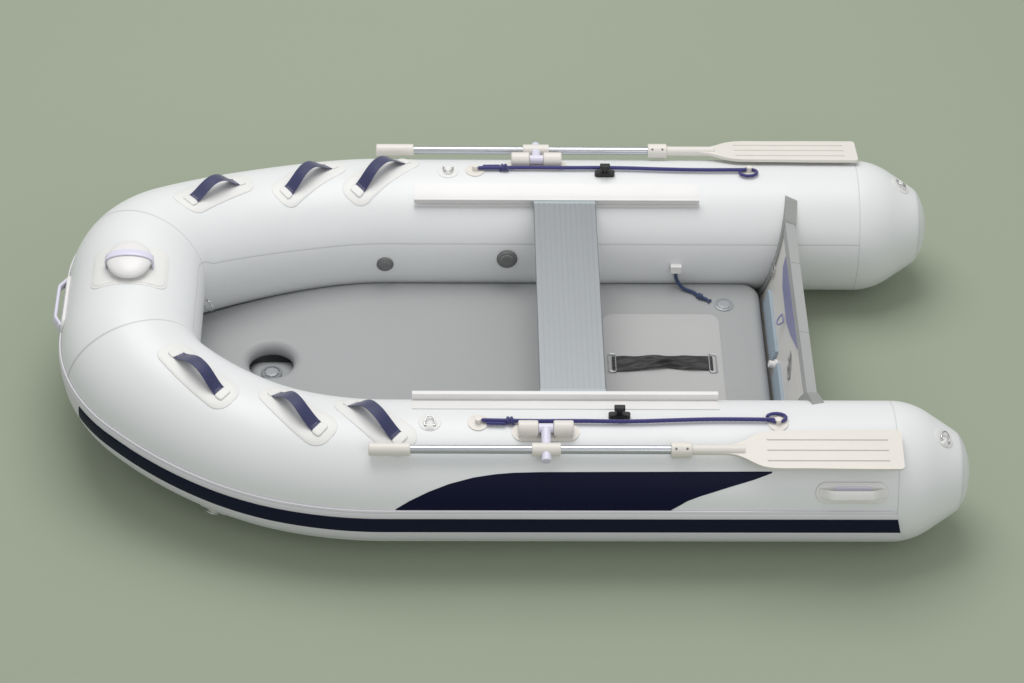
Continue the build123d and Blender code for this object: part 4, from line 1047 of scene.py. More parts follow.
def finished(tree, start, made, link):
    """End a tree: real geometry in the finish that its input names."""
    real, finish = tree.nodes.new("GeometryNodeRealizeInstances"), tree.nodes.new("GeometryNodeSetMaterial")
    end = tree.nodes.new("NodeGroupOutput")
    link(made, real.inputs["Geometry"])
    link(real.outputs["Geometry"], finish.inputs["Geometry"])
    link(start.outputs["Finish"], finish.inputs["Material"])
    link(finish.outputs["Geometry"], end.inputs["Piece"])
    return tree


def sweep_nodes():
    """A Geometry Nodes tree that sweeps a section along a line of points."""
    tree, start, add = node_tree("sweep section", (("Line", "Geometry"), ("Section", "Object"),
                                                   ("Finish", "Material")))
    link = tree.links.new
    line, section = add("GeometryNodeMeshToCurve"), add("GeometryNodeMeshToCurve")
    info, upright = add("GeometryNodeObjectInfo"), add("GeometryNodeSetCurveNormal")
    sweep = add("GeometryNodeCurveToMesh")
    upright.mode = "Z_UP"
    sweep.inputs["Fill Caps"].default_value = True
    link(start.outputs["Line"], line.inputs["Mesh"])
    link(start.outputs["Section"], info.inputs["Object"])
    link(info.outputs["Geometry"], section.inputs["Mesh"])
    link(line.outputs["Curve"], upright.inputs["Curve"])
    link(upright.outputs["Curve"], sweep.inputs["Curve"])
    link(section.outputs["Curve"], sweep.inputs["Profile Curve"])
    return finished(tree, start, sweep.outputs["Mesh"], link)


def wire(name, points, closed=False):
    """A mesh of edges only, for a line or a section."""
    mesh = bpy.data.meshes.new(name)
    edges = [(n, n + 1) for n in range(len(points) - 1)] + ([(len(points) - 1, 0)] if closed else [])
    mesh.from_pydata([tuple(map(float, p)) for p in points], edges, [])
    made = bpy.data.objects.new(name, mesh)
    bpy.context.scene.collection.objects.link(made)
    return made


def run_nodes(carrier, tree, **inputs):
    """The mesh that a tree makes on a carrier, as a new piece; the carrier is removed."""
    modifier = carrier.modifiers.new("made", "NODES")
    modifier.node_group = tree
    for item in tree.interface.items_tree:
        if item.in_out == "INPUT" and item.name in inputs:
            modifier[item.identifier] = inputs[item.name]
    mesh = bpy.data.meshes.new_from_object(carrier.evaluated_get(depsgraph()))
    mesh.name = carrier.name
    carrier.modifiers.remove(modifier)
    piece = bpy.data.objects.new(carrier.name, mesh)
    bpy.context.scene.collection.objects.link(piece)
    bpy.data.objects.remove(carrier)
    return piece


def section_points(profile):
    """A section given as angles in degrees and heights in millimetres off the skin."""
    points = []
    for (angle, height), (next_angle, next_height) in zip(profile, profile[1:] + profile[:1]):
        count = max(1, int(abs(next_angle - angle) / 1.2))
        for n in range(count):
            turn = radians(angle + (next_angle - angle) * n / count)
            reach = TUBE_RADIUS + (height + (next_height - height) * n / count) / 1000
            points.append((-reach * cos(turn), -reach * sin(turn), 0.0))
    return points


def swept(name, places, profile, finish):
    """A band swept along the hull line."""
    carrier = wire(name, line_frame(places)[0])
    section = wire("section", section_points(profile), closed=True)
    piece = run_nodes(carrier, SWEEP, Section=section, Finish=finish)
    bpy.data.objects.remove(section)
    return finish_mesh(piece, angle=38)


RAIL_SECTION = [(-29, 1.0), (-29, 2.2), (-28.4, 3.4), (-27, 4.6), (-25, 5.4), (-22.5, 5.85), (-20, 5.95),
                (-13.8, 5.95), (-13.0, 5.5), (-12.7, 4.4), (3.2, 4.4), (3.5, 5.5), (4.2, 5.95), (7.2, 5.95),
                (7.7, 5.6), (8.0, 4.6), (8.6, 4.6), (8.9, 5.7), (9.3, 5.95), (10.3, 5.95), (10.8, 5.6),
                (11, 4.6), (11, 1.0)]
STRIPE_SECTION = [(-12.5, 4.7), (-12.5, 6.3), (-12.1, 6.9), (-11.4, 7.25), (1.9, 7.25), (2.6, 6.9),
                  (3.0, 6.3), (3.0, 4.7)]


def slanted(piece):
    """Draw the rail's top edge forward at its stern ends, as if cut on the slant."""
    for vertex in piece.data.vertices:
        near = 1 - (vertex.co.x - station(RAIL_AFT)) / 0.10
        if near > 0:
            rise = degrees(np.arcsin((vertex.co.z - TUBE_RADIUS) / (TUBE_RADIUS + 0.004)))
            vertex.co.x += near * RAIL_SLANT * max(0.0, (rise + 29) / 40)
    return piece


SWEEP = sweep_nodes()
rail_start = RAIL_AFT - CONE_LENGTH
rail = swept("rail_skin", np.linspace(rail_start, WHOLE - rail_start, 420), RAIL_SECTION, rail_white)
stripe_spans = ((rail_start, STRIPE_STOP), (WHOLE - STRIPE_STOP, WHOLE - rail_start))
stripes = joined("rail_stripe_skin", [swept(f"stripe_{n}", np.linspace(*span, 190), STRIPE_SECTION, rail_navy)
                                      for n, span in enumerate(stripe_spans)])
settle(slanted(rail), "rub_rail", "rub_rail")
settle(slanted(stripes), "navy_paint", "rail_stripes")
print("rail box", [tuple(round(v, 3) for v in np.array([w.co for w in rail.data.vertices]).min(0))])

# %% [markdown]
# ## The rigid parts' finishes
# The bench, the rails, the rowlocks and the oars are right as they come, so they only change finish. Each
# gets what it is made of: painted aluminium with lines along it, polished tube, or moulded plastic.

# %% Dress the rigid parts
dress(plank_metal, "bench_plank")
dress(cap_plastic, "bench_caps")
dress(white_moulding, "drain_plug", "tether_clip", *both("seat_rail"))
dress(cream_moulding, *both("rowlock_base", "oar_sleeve", "oar_grip", "oar_collar", "oar_blade", "rope_eyes"))
dress(lilac_moulding, *both("oar_pin"))
dress(shaft_metal, *both("oar_shaft"))
dress(black_plastic, *both("cleat"))
dress(board_paint, "transom_board")
dress(grey_trim, "transom_edging")
dress(holder_grey, "transom_holders")
dress(pad_lavender, "transom_pads")
dress(strip_blue, "foot_strips")
print("rigid parts dressed")

# %% [markdown]
# ## Small builders
# The fittings need a few more shapes: a turned shape with notches for caps and valves, a wire bent into a
# closed loop for rings and buckles, and a flat pad with a soft edge. A second node tree sets small parts,
# such as screws and stitches, along a row of points.

# %% Small builders
def turned(name, place, axis, profile, notches=0, depth=0.0, size=48):
    """A shape turned round an axis from (radius, height, notched) steps, with notches round its rim."""
    axis = unit(np.array(axis, float))
    first = unit(np.cross([0.1, 1.0, 0.2], axis))
    second = np.cross(axis, first)
    turns = np.arange(size) * 2 * pi / size
    rings = []
    for radius, height, notched in profile:
        cut = notched * depth * np.clip(np.cos(turns * notches) * 2, -1, 1) if notches else 0 * turns
        spokes = np.cos(turns)[:, None] * first + np.sin(turns)[:, None] * second
        rings.append(np.array(place) + axis * height + (radius + cut)[:, None] * spokes)
    return ring_piece(name, rings, angle=42)


def wire_loop(name, points, wire_size, size=12):
    """A wire bent into a closed loop through points."""
    points = np.array(points, float)
    ahead = unit(np.roll(points, -1, 0) - np.roll(points, 1, 0))
    flat = unit(np.cross(ahead, np.roll(ahead, -max(1, len(points) // 4), 0)).sum(0))
    side = unit(np.cross(ahead, flat))
    turns = np.arange(size) * 2 * pi / size
    spokes = np.cos(turns)[:, None] * side[:, None] + np.sin(turns)[:, None] * flat
    rings = points[:, None] + wire_size / 2 * spokes
    count, faces = len(points), []
    for ring in range(count):
        base, after = ring * size, (ring + 1) % count * size
        faces += [(base + n, base + (n + 1) % size, after + (n + 1) % size, after + n) for n in range(size)]
    return finish_mesh(new_piece(name, rings.reshape(-1, 3), faces))


def d_outline(wide, deep, steps=18):
    """A D: a straight bar along the first axis and a round bow beyond it."""
    turns = np.linspace(0, pi, steps)
    bow = np.stack([wide / 2 * np.cos(turns), deep * np.sin(turns) ** 0.85], -1)
    bar = np.stack([np.linspace(-wide / 2, wide / 2, 8)[1:-1], np.zeros(6)], -1)
    return np.concatenate([bow, bar])


def on_plane(origin, across, ahead, outline):
    """Points of a flat outline in space."""
    return np.array(origin) + outline[:, :1] * across + outline[:, 1:2] * ahead


def flat_pad(name, origin, across, ahead, outline, height, edge=0.0015, crown=0.0):
    """A flat pad with a soft edge, its underside on a plane."""
    origin, across, ahead = (np.array(v, float) for v in (origin, across, ahead))
    size = float(np.abs(outline).max())
    rings = [on_plane(origin, across, ahead, ring[:, :2]) + np.cross(across, ahead) * ring[:, 2:]
             for ring in patch_rings(outline, patch_steps(size, height, edge, 0.0, crown))]
    return ring_piece(name, rings, angle=50)


def ribbon(name, centres, normals, acrosses, width, thick):
    """A strap along a line of centres, with rounded edges, its UV running along it."""
    outline = rounded_box(width, thick, thick * 0.45, steps=4)
    wide, high = outline[None, :, :1], outline[None, :, 1:2]
    rings = centres[:, None] + wide * acrosses[:, None] + high * normals[:, None]
    places = np.concatenate([[0], np.cumsum(np.linalg.norm(np.diff(centres, axis=0), axis=1))])
    around = np.concatenate([[0], np.cumsum(np.linalg.norm(np.diff(outline, axis=0), axis=1))])
    return ring_piece(name, rings, along=places, around=around, angle=55)


def row_nodes():
    """A Geometry Nodes tree that sets a small part on every point, its Z along the point's out."""
    tree, start, add = node_tree("row of parts", (("Places", "Geometry"), ("Part", "Object"),
                                                  ("Finish", "Material")))
    link = tree.links.new
    points, info = add("GeometryNodeMeshToPoints"), add("GeometryNodeObjectInfo")
    rows = add("GeometryNodeInstanceOnPoints")
    turn, spin = add("FunctionNodeAlignRotationToVector"), add("FunctionNodeAlignRotationToVector")
    turn.axis, spin.axis = "Z", "X"
    spin.pivot_axis = "Z"
    for label, aligned in (("out", turn), ("lay", spin)):
        stored = add("GeometryNodeInputNamedAttribute")
        stored.data_type = "FLOAT_VECTOR"
        stored.inputs["Name"].default_value = label
        link(stored.outputs["Attribute"], aligned.inputs["Vector"])
    link(start.outputs["Places"], points.inputs["Mesh"])
    link(start.outputs["Part"], info.inputs["Object"])
    link(points.outputs["Points"], rows.inputs["Points"])
    link(info.outputs["Geometry"], rows.inputs["Instance"])
    link(turn.outputs["Rotation"], spin.inputs["Rotation"])
    link(spin.outputs["Rotation"], rows.inputs["Rotation"])
    return finished(tree, start, rows.outputs["Instances"], link)


ROWS = row_nodes()


def row_of(name, places, outs, lays, part, finish):
    """Copies of a part at places: its Z along outs and its X along lays."""
    carrier = wire(name, places)
    for label, values in (("out", outs), ("lay", lays)):
        stored = carrier.data.attributes.new(label, "FLOAT_VECTOR", "POINT")
        stored.data.foreach_set("vector", np.asarray(values, np.float32).ravel())
    return run_nodes(carrier, ROWS, Part=part, Finish=finish)


def stitch_part():
    """One stitch: a short thread that dips into the cloth at both ends."""
    spots = np.linspace(-0.0016, 0.0016, 7)
    turns = np.arange(6) * 2 * pi / 6
    reach = 0.00042 * np.sqrt(np.clip(1 - (spots / 0.0018) ** 2, 0.05, 1))
    rings = np.stack(together(spots[:, None], reach[:, None] * np.cos(turns),
                              0.0001 + reach[:, None] * np.sin(turns)), -1)
    return ring_piece("stitch", rings)


def screw_part():
    """One screw head with a cross slot worn round."""
    profile = [(0.0034, -0.001, 0), (0.0034, 0.0004, 0), (0.003, 0.0010, 0), (0.0017, 0.0013, 0.6),
               (0.0010, 0.0004, 1), (0.0003, 0.0002, 0)]
    return turned("screw", (0, 0, 0), (0, 0, 1), profile, notches=4, depth=0.0004, size=24)


stitch, screw = stitch_part(), screw_part()
print("small builders ready")

# %% [markdown]
# ## Strap handles
# Each handle is a length of navy webbing that arches off the tube on the skew. Its ends go under small
# welded flaps, and a long patch with round corners spreads the pull over the skin. The straps lie at 45
# degrees to the boat, so on the bend they turn further from the tube's own direction.

# %% Strap handles
STRAP_BACKS = (0.931, 0.691, 0.353)
STRAP_WIDTH, STRAP_THICK = 0.040, 0.0024
STRAP_SPAN, STRAP_RISE = 0.095, 0.042
STRAP_TUCK = 0.022            # the part of each end that lies under its flap
STITCH_ROWS, STITCH_HALF = (0.004, 0.009), 0.017


def strap_skew(distance):
    """Degrees that a strap is turned off square to its tube."""
    _, ahead, _, _ = line_frame(distance)
    return 45 + degrees(np.arctan2(-ahead[1], ahead[0]))


def strap_height(run):
    """How far the webbing's middle stands off the skin at a place along it."""
    part = np.clip(np.abs(run) / STRAP_SPAN, 0, 1)
    return PATCH + 2 * SKIN + STRAP_THICK / 2 + STRAP_RISE * (0.5 + 0.5 * np.cos(pi * part ** 1.15)) ** 0.8


def strap_band(name, place, skew):
    """The webbing of one handle."""
    runs = np.linspace(-STRAP_SPAN - STRAP_TUCK, STRAP_SPAN + STRAP_TUCK, 74)
    rows = []
    for across in (-0.001, 0.001):
        forward, up = skewed(across, runs, skew)
        rows.append(laid(place, forward, up, strap_height(runs)))
    centres, acrosses = (rows[0] + rows[1]) / 2, unit(rows[1] - rows[0])
    normals = unit(np.cross(acrosses, np.gradient(centres, axis=0)))
    lift = laid(place, 0 * runs, 0 * runs, 0.1 + 0 * runs) - laid(place, 0 * runs, 0 * runs, 0 * runs)
    normals *= np.sign((normals * lift).sum(1))[:, None]
    return ribbon(name, centres, normals, acrosses, STRAP_WIDTH, STRAP_THICK)


def strap_stitches(name, place, skew):
    """Two rows of stitches across each end of a handle."""
    spots, outs, lays = [], [], []
    for end in (-1, 1):
        for row in STITCH_ROWS:
            across = np.linspace(-STITCH_HALF, STITCH_HALF, 9)
            run = np.full(9, end * (STRAP_SPAN - row))
            high = strap_height(run) + STRAP_THICK / 2
            forward, up = skewed(across, run, skew)
            top = laid(place, forward, up, high)
            spots.append(top)
            outs.append(unit(laid(place, forward, up, high + 0.01) - top))
            ahead_f, ahead_u = skewed(across + 0.002, run, skew)
            lays.append(unit(laid(place, ahead_f, ahead_u, high) - top))
    return row_of(name, np.concatenate(spots), np.concatenate(outs), np.concatenate(lays), stitch, thread)


STRAP_BASE, STRAP_FLAP = rounded_box(0.112, 0.296, 0.044), rounded_box(0.046, 0.028, 0.008)

for side_name, side in SIDES.items():
    bands, flaps, bases = [], [], []
    for back in STRAP_BACKS:
        place, skew = seat(side, SEAM - back, 90), strap_skew(SEAM - back)
        bands.append(strap_band("band", place, skew))
        bands[-1].data.materials.append(navy_webbing)
        bands.append(strap_stitches("band_stitches", place, skew))
        bases.append(tube_patch("base", place, STRAP_BASE, skew=skew))
        for end in (-1, 1):
            flaps.append(tube_patch("flap", place, STRAP_FLAP, height=0.0042, edge=0.004, skew=skew,
                                    lift=PATCH + 2 * SKIN, shift=(0, end * (STRAP_SPAN + 0.012))))
    band = joined(f"{side_name}_strap_bands", bands)
    base = joined(f"{side_name}_strap_bases", bases + flaps)
    settle(band, "navy_webbing", f"{side_name}_strap_handles")
    settle(base, "patch_fabric", f"{side_name}_strap_patches", finish=patch_fabric)
print("strap handles made, skew", [round(strap_skew(SEAM - back), 1) for back in STRAP_BACKS])


# %% [markdown]
# ## Places on the boat
# Fittings need a place to stand: a spot on a tube with its own forward, round and outward directions, the
# sloped wall of a stern cone, and the leaning face of the transom.

# %% Places
CONE_RING, CONE_RING_ANGLE = 0.092, 84
TRANSOM_STATION, TRANSOM_TOP, RAKE = 0.473, 0.360, radians(12)
DECK_TOP = DECK_BOTTOM + DECK_THICK


def spot_frame(place, height=0.0):
    """A spot on a tube: where it is, and its forward, round and outward directions."""
    here = laid(place, [0.0], [0.0], height)[0]
    ahead = unit(laid(place, [0.001], [0.0], height)[0] - here)
    out = unit(laid(place, [0.0], [0.0], height + 0.01)[0] - here)
    return here, ahead, np.cross(out, ahead), out


def cone_spot(side, forward, round_up, height):
    """Points on the sloped wall of a stern cone, round its D-ring's place."""
    straight = CONE_LENGTH - SHOULDER * sin(SLOPE)
    forward, round_up, height = together(forward, round_up, height)
    along = CONE_RING + forward * cos(SLOPE)
    radius = TUBE_RADIUS - SHOULDER * (1 - cos(SLOPE)) - (straight - along) * tan(SLOPE)
    turn = radians(CONE_RING_ANGLE) + round_up / radius
    around = np.stack([0 * turn, side * np.cos(turn), np.sin(turn)], -1)
    out = around * cos(SLOPE) - np.array([sin(SLOPE), 0, 0])
    middle = np.stack([stern_x + along, 0 * along + side * HALF_SPACING, 0 * along + TUBE_RADIUS], -1)
    return middle + around * radius[..., None] + out * height[..., None]


def on_transom(y, up, out=0.0):
    """A point on the transom's inner face: across the boat, up the slope and off the face."""
    foot = station(TRANSOM_STATION) + TRANSOM_TOP * tan(RAKE)
    return np.array([foot - up * sin(RAKE) + out * cos(RAKE), y, up * cos(RAKE) + out * sin(RAKE)])


print("places ready")

# %% [markdown]
# ## The sweep on each side
# A dark film runs along the outer side of each tube: a slanted tail, a long level top edge, and a nose that
# curves down to a point where the tube starts to bend. Its two ends are given as distances at each angle.

# %% Side sweep
TAIL_ANGLES = (10.8, 19.9, 24.1, 31.1, 37.6, 42.7, 44.0)
TAIL_PLACES = (0.6600, 0.6096, 0.5714, 0.4946, 0.4177, 0.3690, 0.3675)
NOSE_ANGLES = (10.8, 12.0, 19.4, 27.1, 33.8, 38.9, 41.5, 42.7, 43.25, 43.6, 43.9, 44.0)
NOSE_PLACES = (1.4530, 1.4520, 1.4123, 1.3585, 1.2971, 1.2276, 1.1662, 1.1124, 1.0354, 0.7267, 0.4951, 0.3685)

LEVEL_FROM = 42.7
SWEEP_THICK = 0.0008 - SKIN

angles = np.concatenate([np.linspace(TAIL_ANGLES[0], LEVEL_FROM - 0.1, 34),
                         np.linspace(LEVEL_FROM, TAIL_ANGLES[-1], 14)])[:, None]
starts = np.interp(angles, TAIL_ANGLES, TAIL_PLACES)
ends = np.interp(angles, NOSE_ANGLES, NOSE_PLACES)
runs = starts + (ends - starts) * np.linspace(0, 1, 60)
for side_name, side in SIDES.items():
    place = seat(side, 0.0, 0.0)
    rounds = TUBE_RADIUS * np.radians(angles)
    under, over = laid(place, runs, rounds, SKIN), laid(place, runs, rounds, SKIN + SWEEP_THICK)
    sweep_film = film(f"{side_name}_side_sweep", under, over)
    settle(sweep_film, "navy_paint", f"{side_name}_swoosh", finish=navy_film)
print("sweep films made")

# %% [markdown]
# ## Rings and their tabs
# Each steel D-ring hangs in a folded tab of fabric on a round patch. Two lie on top of the side tubes, two
# low on the bow, two stand up inside the bow and two lie on the stern cones.

# %% D-rings
RING_WIRE = 0.005
RING_WIDE, RING_DEEP = 0.036, 0.030
RING_PATCH = 0.033
RING_PLACES = {1: (1.095, 86.5), -1: (1.149, 87.0)}
LOW_RING, INNER_RING = (0.523, -38.6), (0.166, 199.0)


def ring_set(name, grid, upright=False):
    """One D-ring with its folded tab and round patch, built on a function that lays points on a surface."""
    base = PATCH + 2 * SKIN
    flat = d_outline(RING_WIDE - RING_WIRE, RING_DEEP) - [0, RING_DEEP / 2]
    if upright:
        lay = grid(0 * flat[:, 0], flat[:, 0], base + RING_WIRE / 2 + RING_DEEP / 2 + flat[:, 1])
    else:
        tilt = 0.22 * (flat[:, 1] + RING_DEEP / 2)
        lay = grid(flat[:, 0], flat[:, 1], base + RING_WIRE / 2 + 0.0004 + tilt)
    ring = wire_loop(f"{name}_wire", lay, RING_WIRE)
    pads = []
    for outline, height, lift, crown, shift in (
            (oval(2 * RING_PATCH, 2 * RING_PATCH, 56), PATCH, SKIN, 0.0, 0.0),
            (rounded_box(0.025, 0.030, 0.004), 0.0016, base, 0.0052, -RING_DEEP / 2)):
        size = float(np.abs(outline).max())
        rings = [grid(r[:, 0], r[:, 1] + (0.0 if upright else shift), r[:, 2])
                 for r in patch_rings(outline, patch_steps(size, height, 0.0012, lift, crown))]
        pads.append(ring_piece(f"{name}_pad", rings, angle=50))
    return ring, pads


wires, pads = [], []
for side in SIDES.values():
    for back, angle in (RING_PLACES[side], LOW_RING, INNER_RING):
        place = seat(side, SEAM - back, angle)
        ring, tabs = ring_set("ring", lambda f, u, h: laid(place, f, u, h), upright=angle == INNER_RING[1])
        wires.append(ring)
        pads += tabs
    ring, tabs = ring_set("ring", lambda f, u, h: cone_spot(side, f, u, h))
    wires.append(ring)
    pads += tabs
settle(joined("ring_wires", wires), "steel", "d_rings", finish=steel)
settle(joined("ring_tabs", pads), "patch_fabric", "ring_patches", finish=patch_fabric)
print("rings made:", len(wires))

# %% [markdown]
# ## Valves
# The deck has a flat clear grey valve, the keel one under the hole, and the tubes grey ones with ribbed caps.

# %% Valves
FLAT_VALVE = [(0.0290, 0.0002, 0), (0.0302, 0.0008, 0), (0.0302, 0.0018, 0), (0.0290, 0.0028, 0),
              (0.0268, 0.0033, 0), (0.0256, 0.0041, 0), (0.0240, 0.0041, 0), (0.0230, 0.0030, 0),
              (0.0226, 0.0014, 0), (0.0208, 0.0012, 0), (0.0200, 0.0022, 1), (0.0192, 0.0038, 1),
              (0.0165, 0.0046, 1), (0.0100, 0.0050, 0.4), (0.0030, 0.0046, 0)]
CAPPED_VALVE = [(0.0318, 0.0002, 0), (0.0328, 0.0010, 0), (0.0324, 0.0030, 0), (0.0300, 0.0046, 0),
                (0.0284, 0.0052, 0), (0.0276, 0.0080, 0), (0.0262, 0.0090, 0), (0.0222, 0.0092, 1),
                (0.0220, 0.0142, 1), (0.0206, 0.0158, 1), (0.0150, 0.0166, 0.2), (0.0050, 0.0162, 0)]
FLAT_TEETH = {"notches": 8, "depth": 0.0009, "size": 96}
CAP_TEETH = {"notches": 22, "depth": 0.0008, "size": 176}
TUBE_VALVES = ((-1, 1.349, 172, 1.0), (1, 1.349, 172, 1.0), (-1, 1.737, 178, 0.82))
DECK_VALVE = (0.663, -0.260)


def scaled(profile, wide, high):
    """A lathe profile with its radii and heights scaled."""
    return [(radius * wide, height * high, notched) for radius, height, notched in profile]


def tube_valve(side, from_stern, angle, scale):
    """A capped valve on the inner side of a tube."""
    here, _, _, out = spot_frame(seat(side, from_stern - CONE_LENGTH, angle), SKIN)
    return turned("tube_valve", here, out, scaled(CAPPED_VALVE, scale, scale), **CAP_TEETH)


deck_spot = (station(DECK_VALVE[0]), DECK_VALVE[1], DECK_TOP + SKIN)
keel_spot = (HOLE_X, 0, KEEL_HIGH)
flat_caps = [turned("flat_valve", deck_spot, (0, 0, 1), FLAT_VALVE, **FLAT_TEETH),
             turned("keel_valve", keel_spot, (0, 0, 1), scaled(FLAT_VALVE, 1.08, 2), **FLAT_TEETH)]
settle(joined("floor_valve_caps", flat_caps), "grey_valve", "deck_valves", finish=clear_grey)
tube_valves = [tube_valve(*places) for places in TUBE_VALVES]
settle(joined("tube_valve_caps", tube_valves), "grey_valve", "valves", finish=valve_grey)
print("valves made")

# %% [markdown]
# ## Deck panel and tank strap
# A panel of the same fabric is glued on the deck. Over it a black webbing strap, wrinkled and pinched in its
# middle, runs between two steel loops.

# %% Panel and tank strap
PANEL_SPAN = (0.684, 1.050)
PANEL_WIDTH, PANEL_THICK = 0.430, 0.0015
STRAP_ENDS, STRAP_MIDDLE = (0.716, 1.028), 0.018
WEB_THICK, LOOP_WIRE = 0.0022, 0.004

panel_middle = (station(sum(PANEL_SPAN) / 2), 0, DECK_TOP)
panel = flat_pad("deck_panel", panel_middle, (1, 0, 0), (0, 1, 0),
                 rounded_box(PANEL_SPAN[1] - PANEL_SPAN[0], PANEL_WIDTH, 0.035), PANEL_THICK, edge=0.0035)
settle(panel, "deck_fabric", "floor_patch", finish=panel_fabric)

strap_floor = DECK_TOP + PANEL_THICK + 2 * SKIN
parts = np.linspace(0, 1, 72)[:, None]
across = np.linspace(-0.5, 0.5, 22)[None, :]
width = np.interp(parts, (0, 0.08, 0.30, 0.46, 0.62, 0.86, 1),
                  (0.060, 0.062, 0.060, 0.049, 0.055, 0.068, 0.066))
sag = np.interp(parts, (0, 0.25, 0.45, 0.7, 1), (0.0, -0.001, -0.004, 0.001, 0.004))
waves = 0.0020 * np.sin(19 * parts + 7 * across) + 0.0022 * np.sin(11 * parts - 13 * across + 1.2)
pinch = 0.0075 * np.exp(-((parts - 0.46) / 0.10) ** 2) * np.cos(pi * across * 3.2) ** 2
lie = 0.004 + 0.004 * np.sin(pi * parts) + waves * np.sin(pi * parts) ** 0.5 + pinch
xs = station(STRAP_ENDS[0]) + (STRAP_ENDS[1] - STRAP_ENDS[0]) * parts + 0 * across
ys = STRAP_MIDDLE + sag + width * across
over = np.stack(together(xs, ys, strap_floor + np.clip(lie, WEB_THICK + 0.0004, None)), -1)
tank_strap = film("tank_strap_web", over - [0, 0, WEB_THICK], over)
loops = []
for end in STRAP_ENDS:
    ring = on_plane((station(end), STRAP_MIDDLE, strap_floor + 0.0046), np.array([1.0, 0, 0.05]),
                    np.array([0.0, 1, 0]), rounded_box(0.022, 0.080, 0.006))
    loops.append(wire_loop("strap_loop", ring, LOOP_WIRE))
settle(joined("strap_loops", loops), "steel", finish=steel)
settle(tank_strap, "black_webbing", "floor_strap", finish=black_webbing)
print("panel and tank strap made")

# %% [markdown]
# ## Carry handles
# The moulded handles are a long plate with a bar arched over it. A lilac insert lies in the finger space of
# the stern ones, and the bow's bar is lilac all over.

# %% Carry handles
STERN_HANDLE_PLACE, STERN_HANDLE_ANGLE = 0.371, 27
BOW_HANDLE_ANGLE = 12
STERN_PLATE, STERN_RIM, STERN_INSET = (0.212, 0.064, 0.005), (0.198, 0.052, 0.0012), (0.112, 0.040, 0.010)
BOW_PLATE = (0.236, 0.064, 0.0085)
BAR_WIDTH = 0.030


def arch(name, place, half_flat, half_foot, reach, low, width, thick):
    """A handle's bar: level in the middle, with ends that curve down to its plate."""
    runs = np.linspace(-half_foot, half_foot, 60)
    part = np.clip((np.abs(runs) - half_flat) / (half_foot - half_flat), 0, 1)
    heights = low + (reach - thick / 2 - low) * (0.5 + 0.5 * np.cos(pi * part)) ** 0.8
    centres = laid(place, runs, 0 * runs, heights)
    acrosses = unit(laid(place, runs, 0 * runs + 0.001, heights) - centres)
    ahead = unit(np.gradient(centres, axis=0))
    normals = unit(np.cross(ahead, acrosses))
    out = laid(place, runs, 0 * runs, heights + 0.01) - centres
    normals *= np.sign((normals * out).sum(1))[:, None]
    return ribbon(name, centres, normals, acrosses, width, thick)


def slot_plate(name, place, length, width, height, edge=0.004, lift=SKIN, shift=(0, 0)):
    """A plate with round ends."""
    return tube_patch(name, place, rounded_box(length, width, width / 2 - 0.0002, steps=12), height=height,
                      edge=edge, lift=lift, crown=0.0006, shift=shift)


for side_name, side in SIDES.items():
    place = seat(side, STERN_HANDLE_PLACE - CONE_LENGTH, STERN_HANDLE_ANGLE)
    plate = slot_plate("plate", place, *STERN_PLATE)
    bar = arch("bar", place, half_flat=0.052, half_foot=0.094, reach=0.034, low=0.004, width=BAR_WIDTH,
               thick=0.009)
    rim = slot_plate("rim", place, *STERN_RIM, edge=0.002, lift=STERN_PLATE[2])
    moulding = settle(joined(f"{side_name}_grip_moulding", [plate, bar, rim]), "white_moulding",
                      f"{side_name}_stern_handle", finish=white_moulding)
    inset = tube_patch(f"{side_name}_grip_inset", place, rounded_box(*STERN_INSET), height=0.0014,
                       edge=0.002, lift=STERN_PLATE[2] + 0.0016)
    settle(inset, "pin_plastic", finish=lilac_moulding)

place = seat(1, WHOLE / 2, BOW_HANDLE_ANGLE)
settle(slot_plate("bow_grip_plate", place, *BOW_PLATE), "white_moulding", finish=white_moulding)
bar = arch("bow_grip_bar", place, half_flat=0.062, half_foot=0.106, reach=0.032, low=0.008,
           width=BAR_WIDTH, thick=0.010)
settle(bar, "pin_plastic", "bow_handle", finish=lilac_moulding)
print("carry handles made")

# %% [markdown]
# ## Bow fitting
# A wide white dome stands on a short neck over a double patch, and a lilac belt arches over its middle down
# to the tube on both sides.

# %% Bow fitting
DOME = (0.136, 0.164, 0.027)
DOME_LIFT = 0.018
BELT_GAP, BELT_THICK, BELT_WIDTH = 0.0025, 0.005, 0.026
bow_top = np.array([bow_axis_x, 0, bow_axis_z + TUBE_RADIUS])


def oval_stack(name, centre, steps, count=64):
    """A closed shape of level ovals: (half length, half width, height) from bottom to top."""
    turns = np.arange(count) * 2 * pi / count
    rings = [centre + np.stack([a * np.cos(turns), b * np.sin(turns), h + 0 * turns], -1)
             for a, b, h in steps]
    return ring_piece(name, rings, angle=48)


def dome_steps():
    """The dome's outline from its undercut to its top."""
    a, b, c = DOME[0] / 2, DOME[1] / 2, DOME[2]
    steps = [(0.60 * a, 0.60 * b, DOME_LIFT - 0.0080), (0.86 * a, 0.86 * b, DOME_LIFT - 0.0080),
             (0.94 * a, 0.94 * b, DOME_LIFT - 0.0068), (0.985 * a, 0.985 * b, DOME_LIFT - 0.0035)]
    for turn in np.linspace(0, 86, 16):
        steps.append((a * cos(radians(turn)), b * cos(radians(turn)), DOME_LIFT + c * sin(radians(turn))))
    return steps


plate_place = seat(1, WHOLE / 2, 90)
plates = [tube_patch("plate", plate_place, rounded_box(0.176, 0.240, 0.030)),
          tube_patch("inner_plate", plate_place, rounded_box(0.158, 0.222, 0.026), height=0.0009, edge=0.0016,
                     lift=PATCH + 2 * SKIN)]
settle(joined("bow_plate", plates), "patch_fabric", "fairlead_plate", finish=patch_fabric)

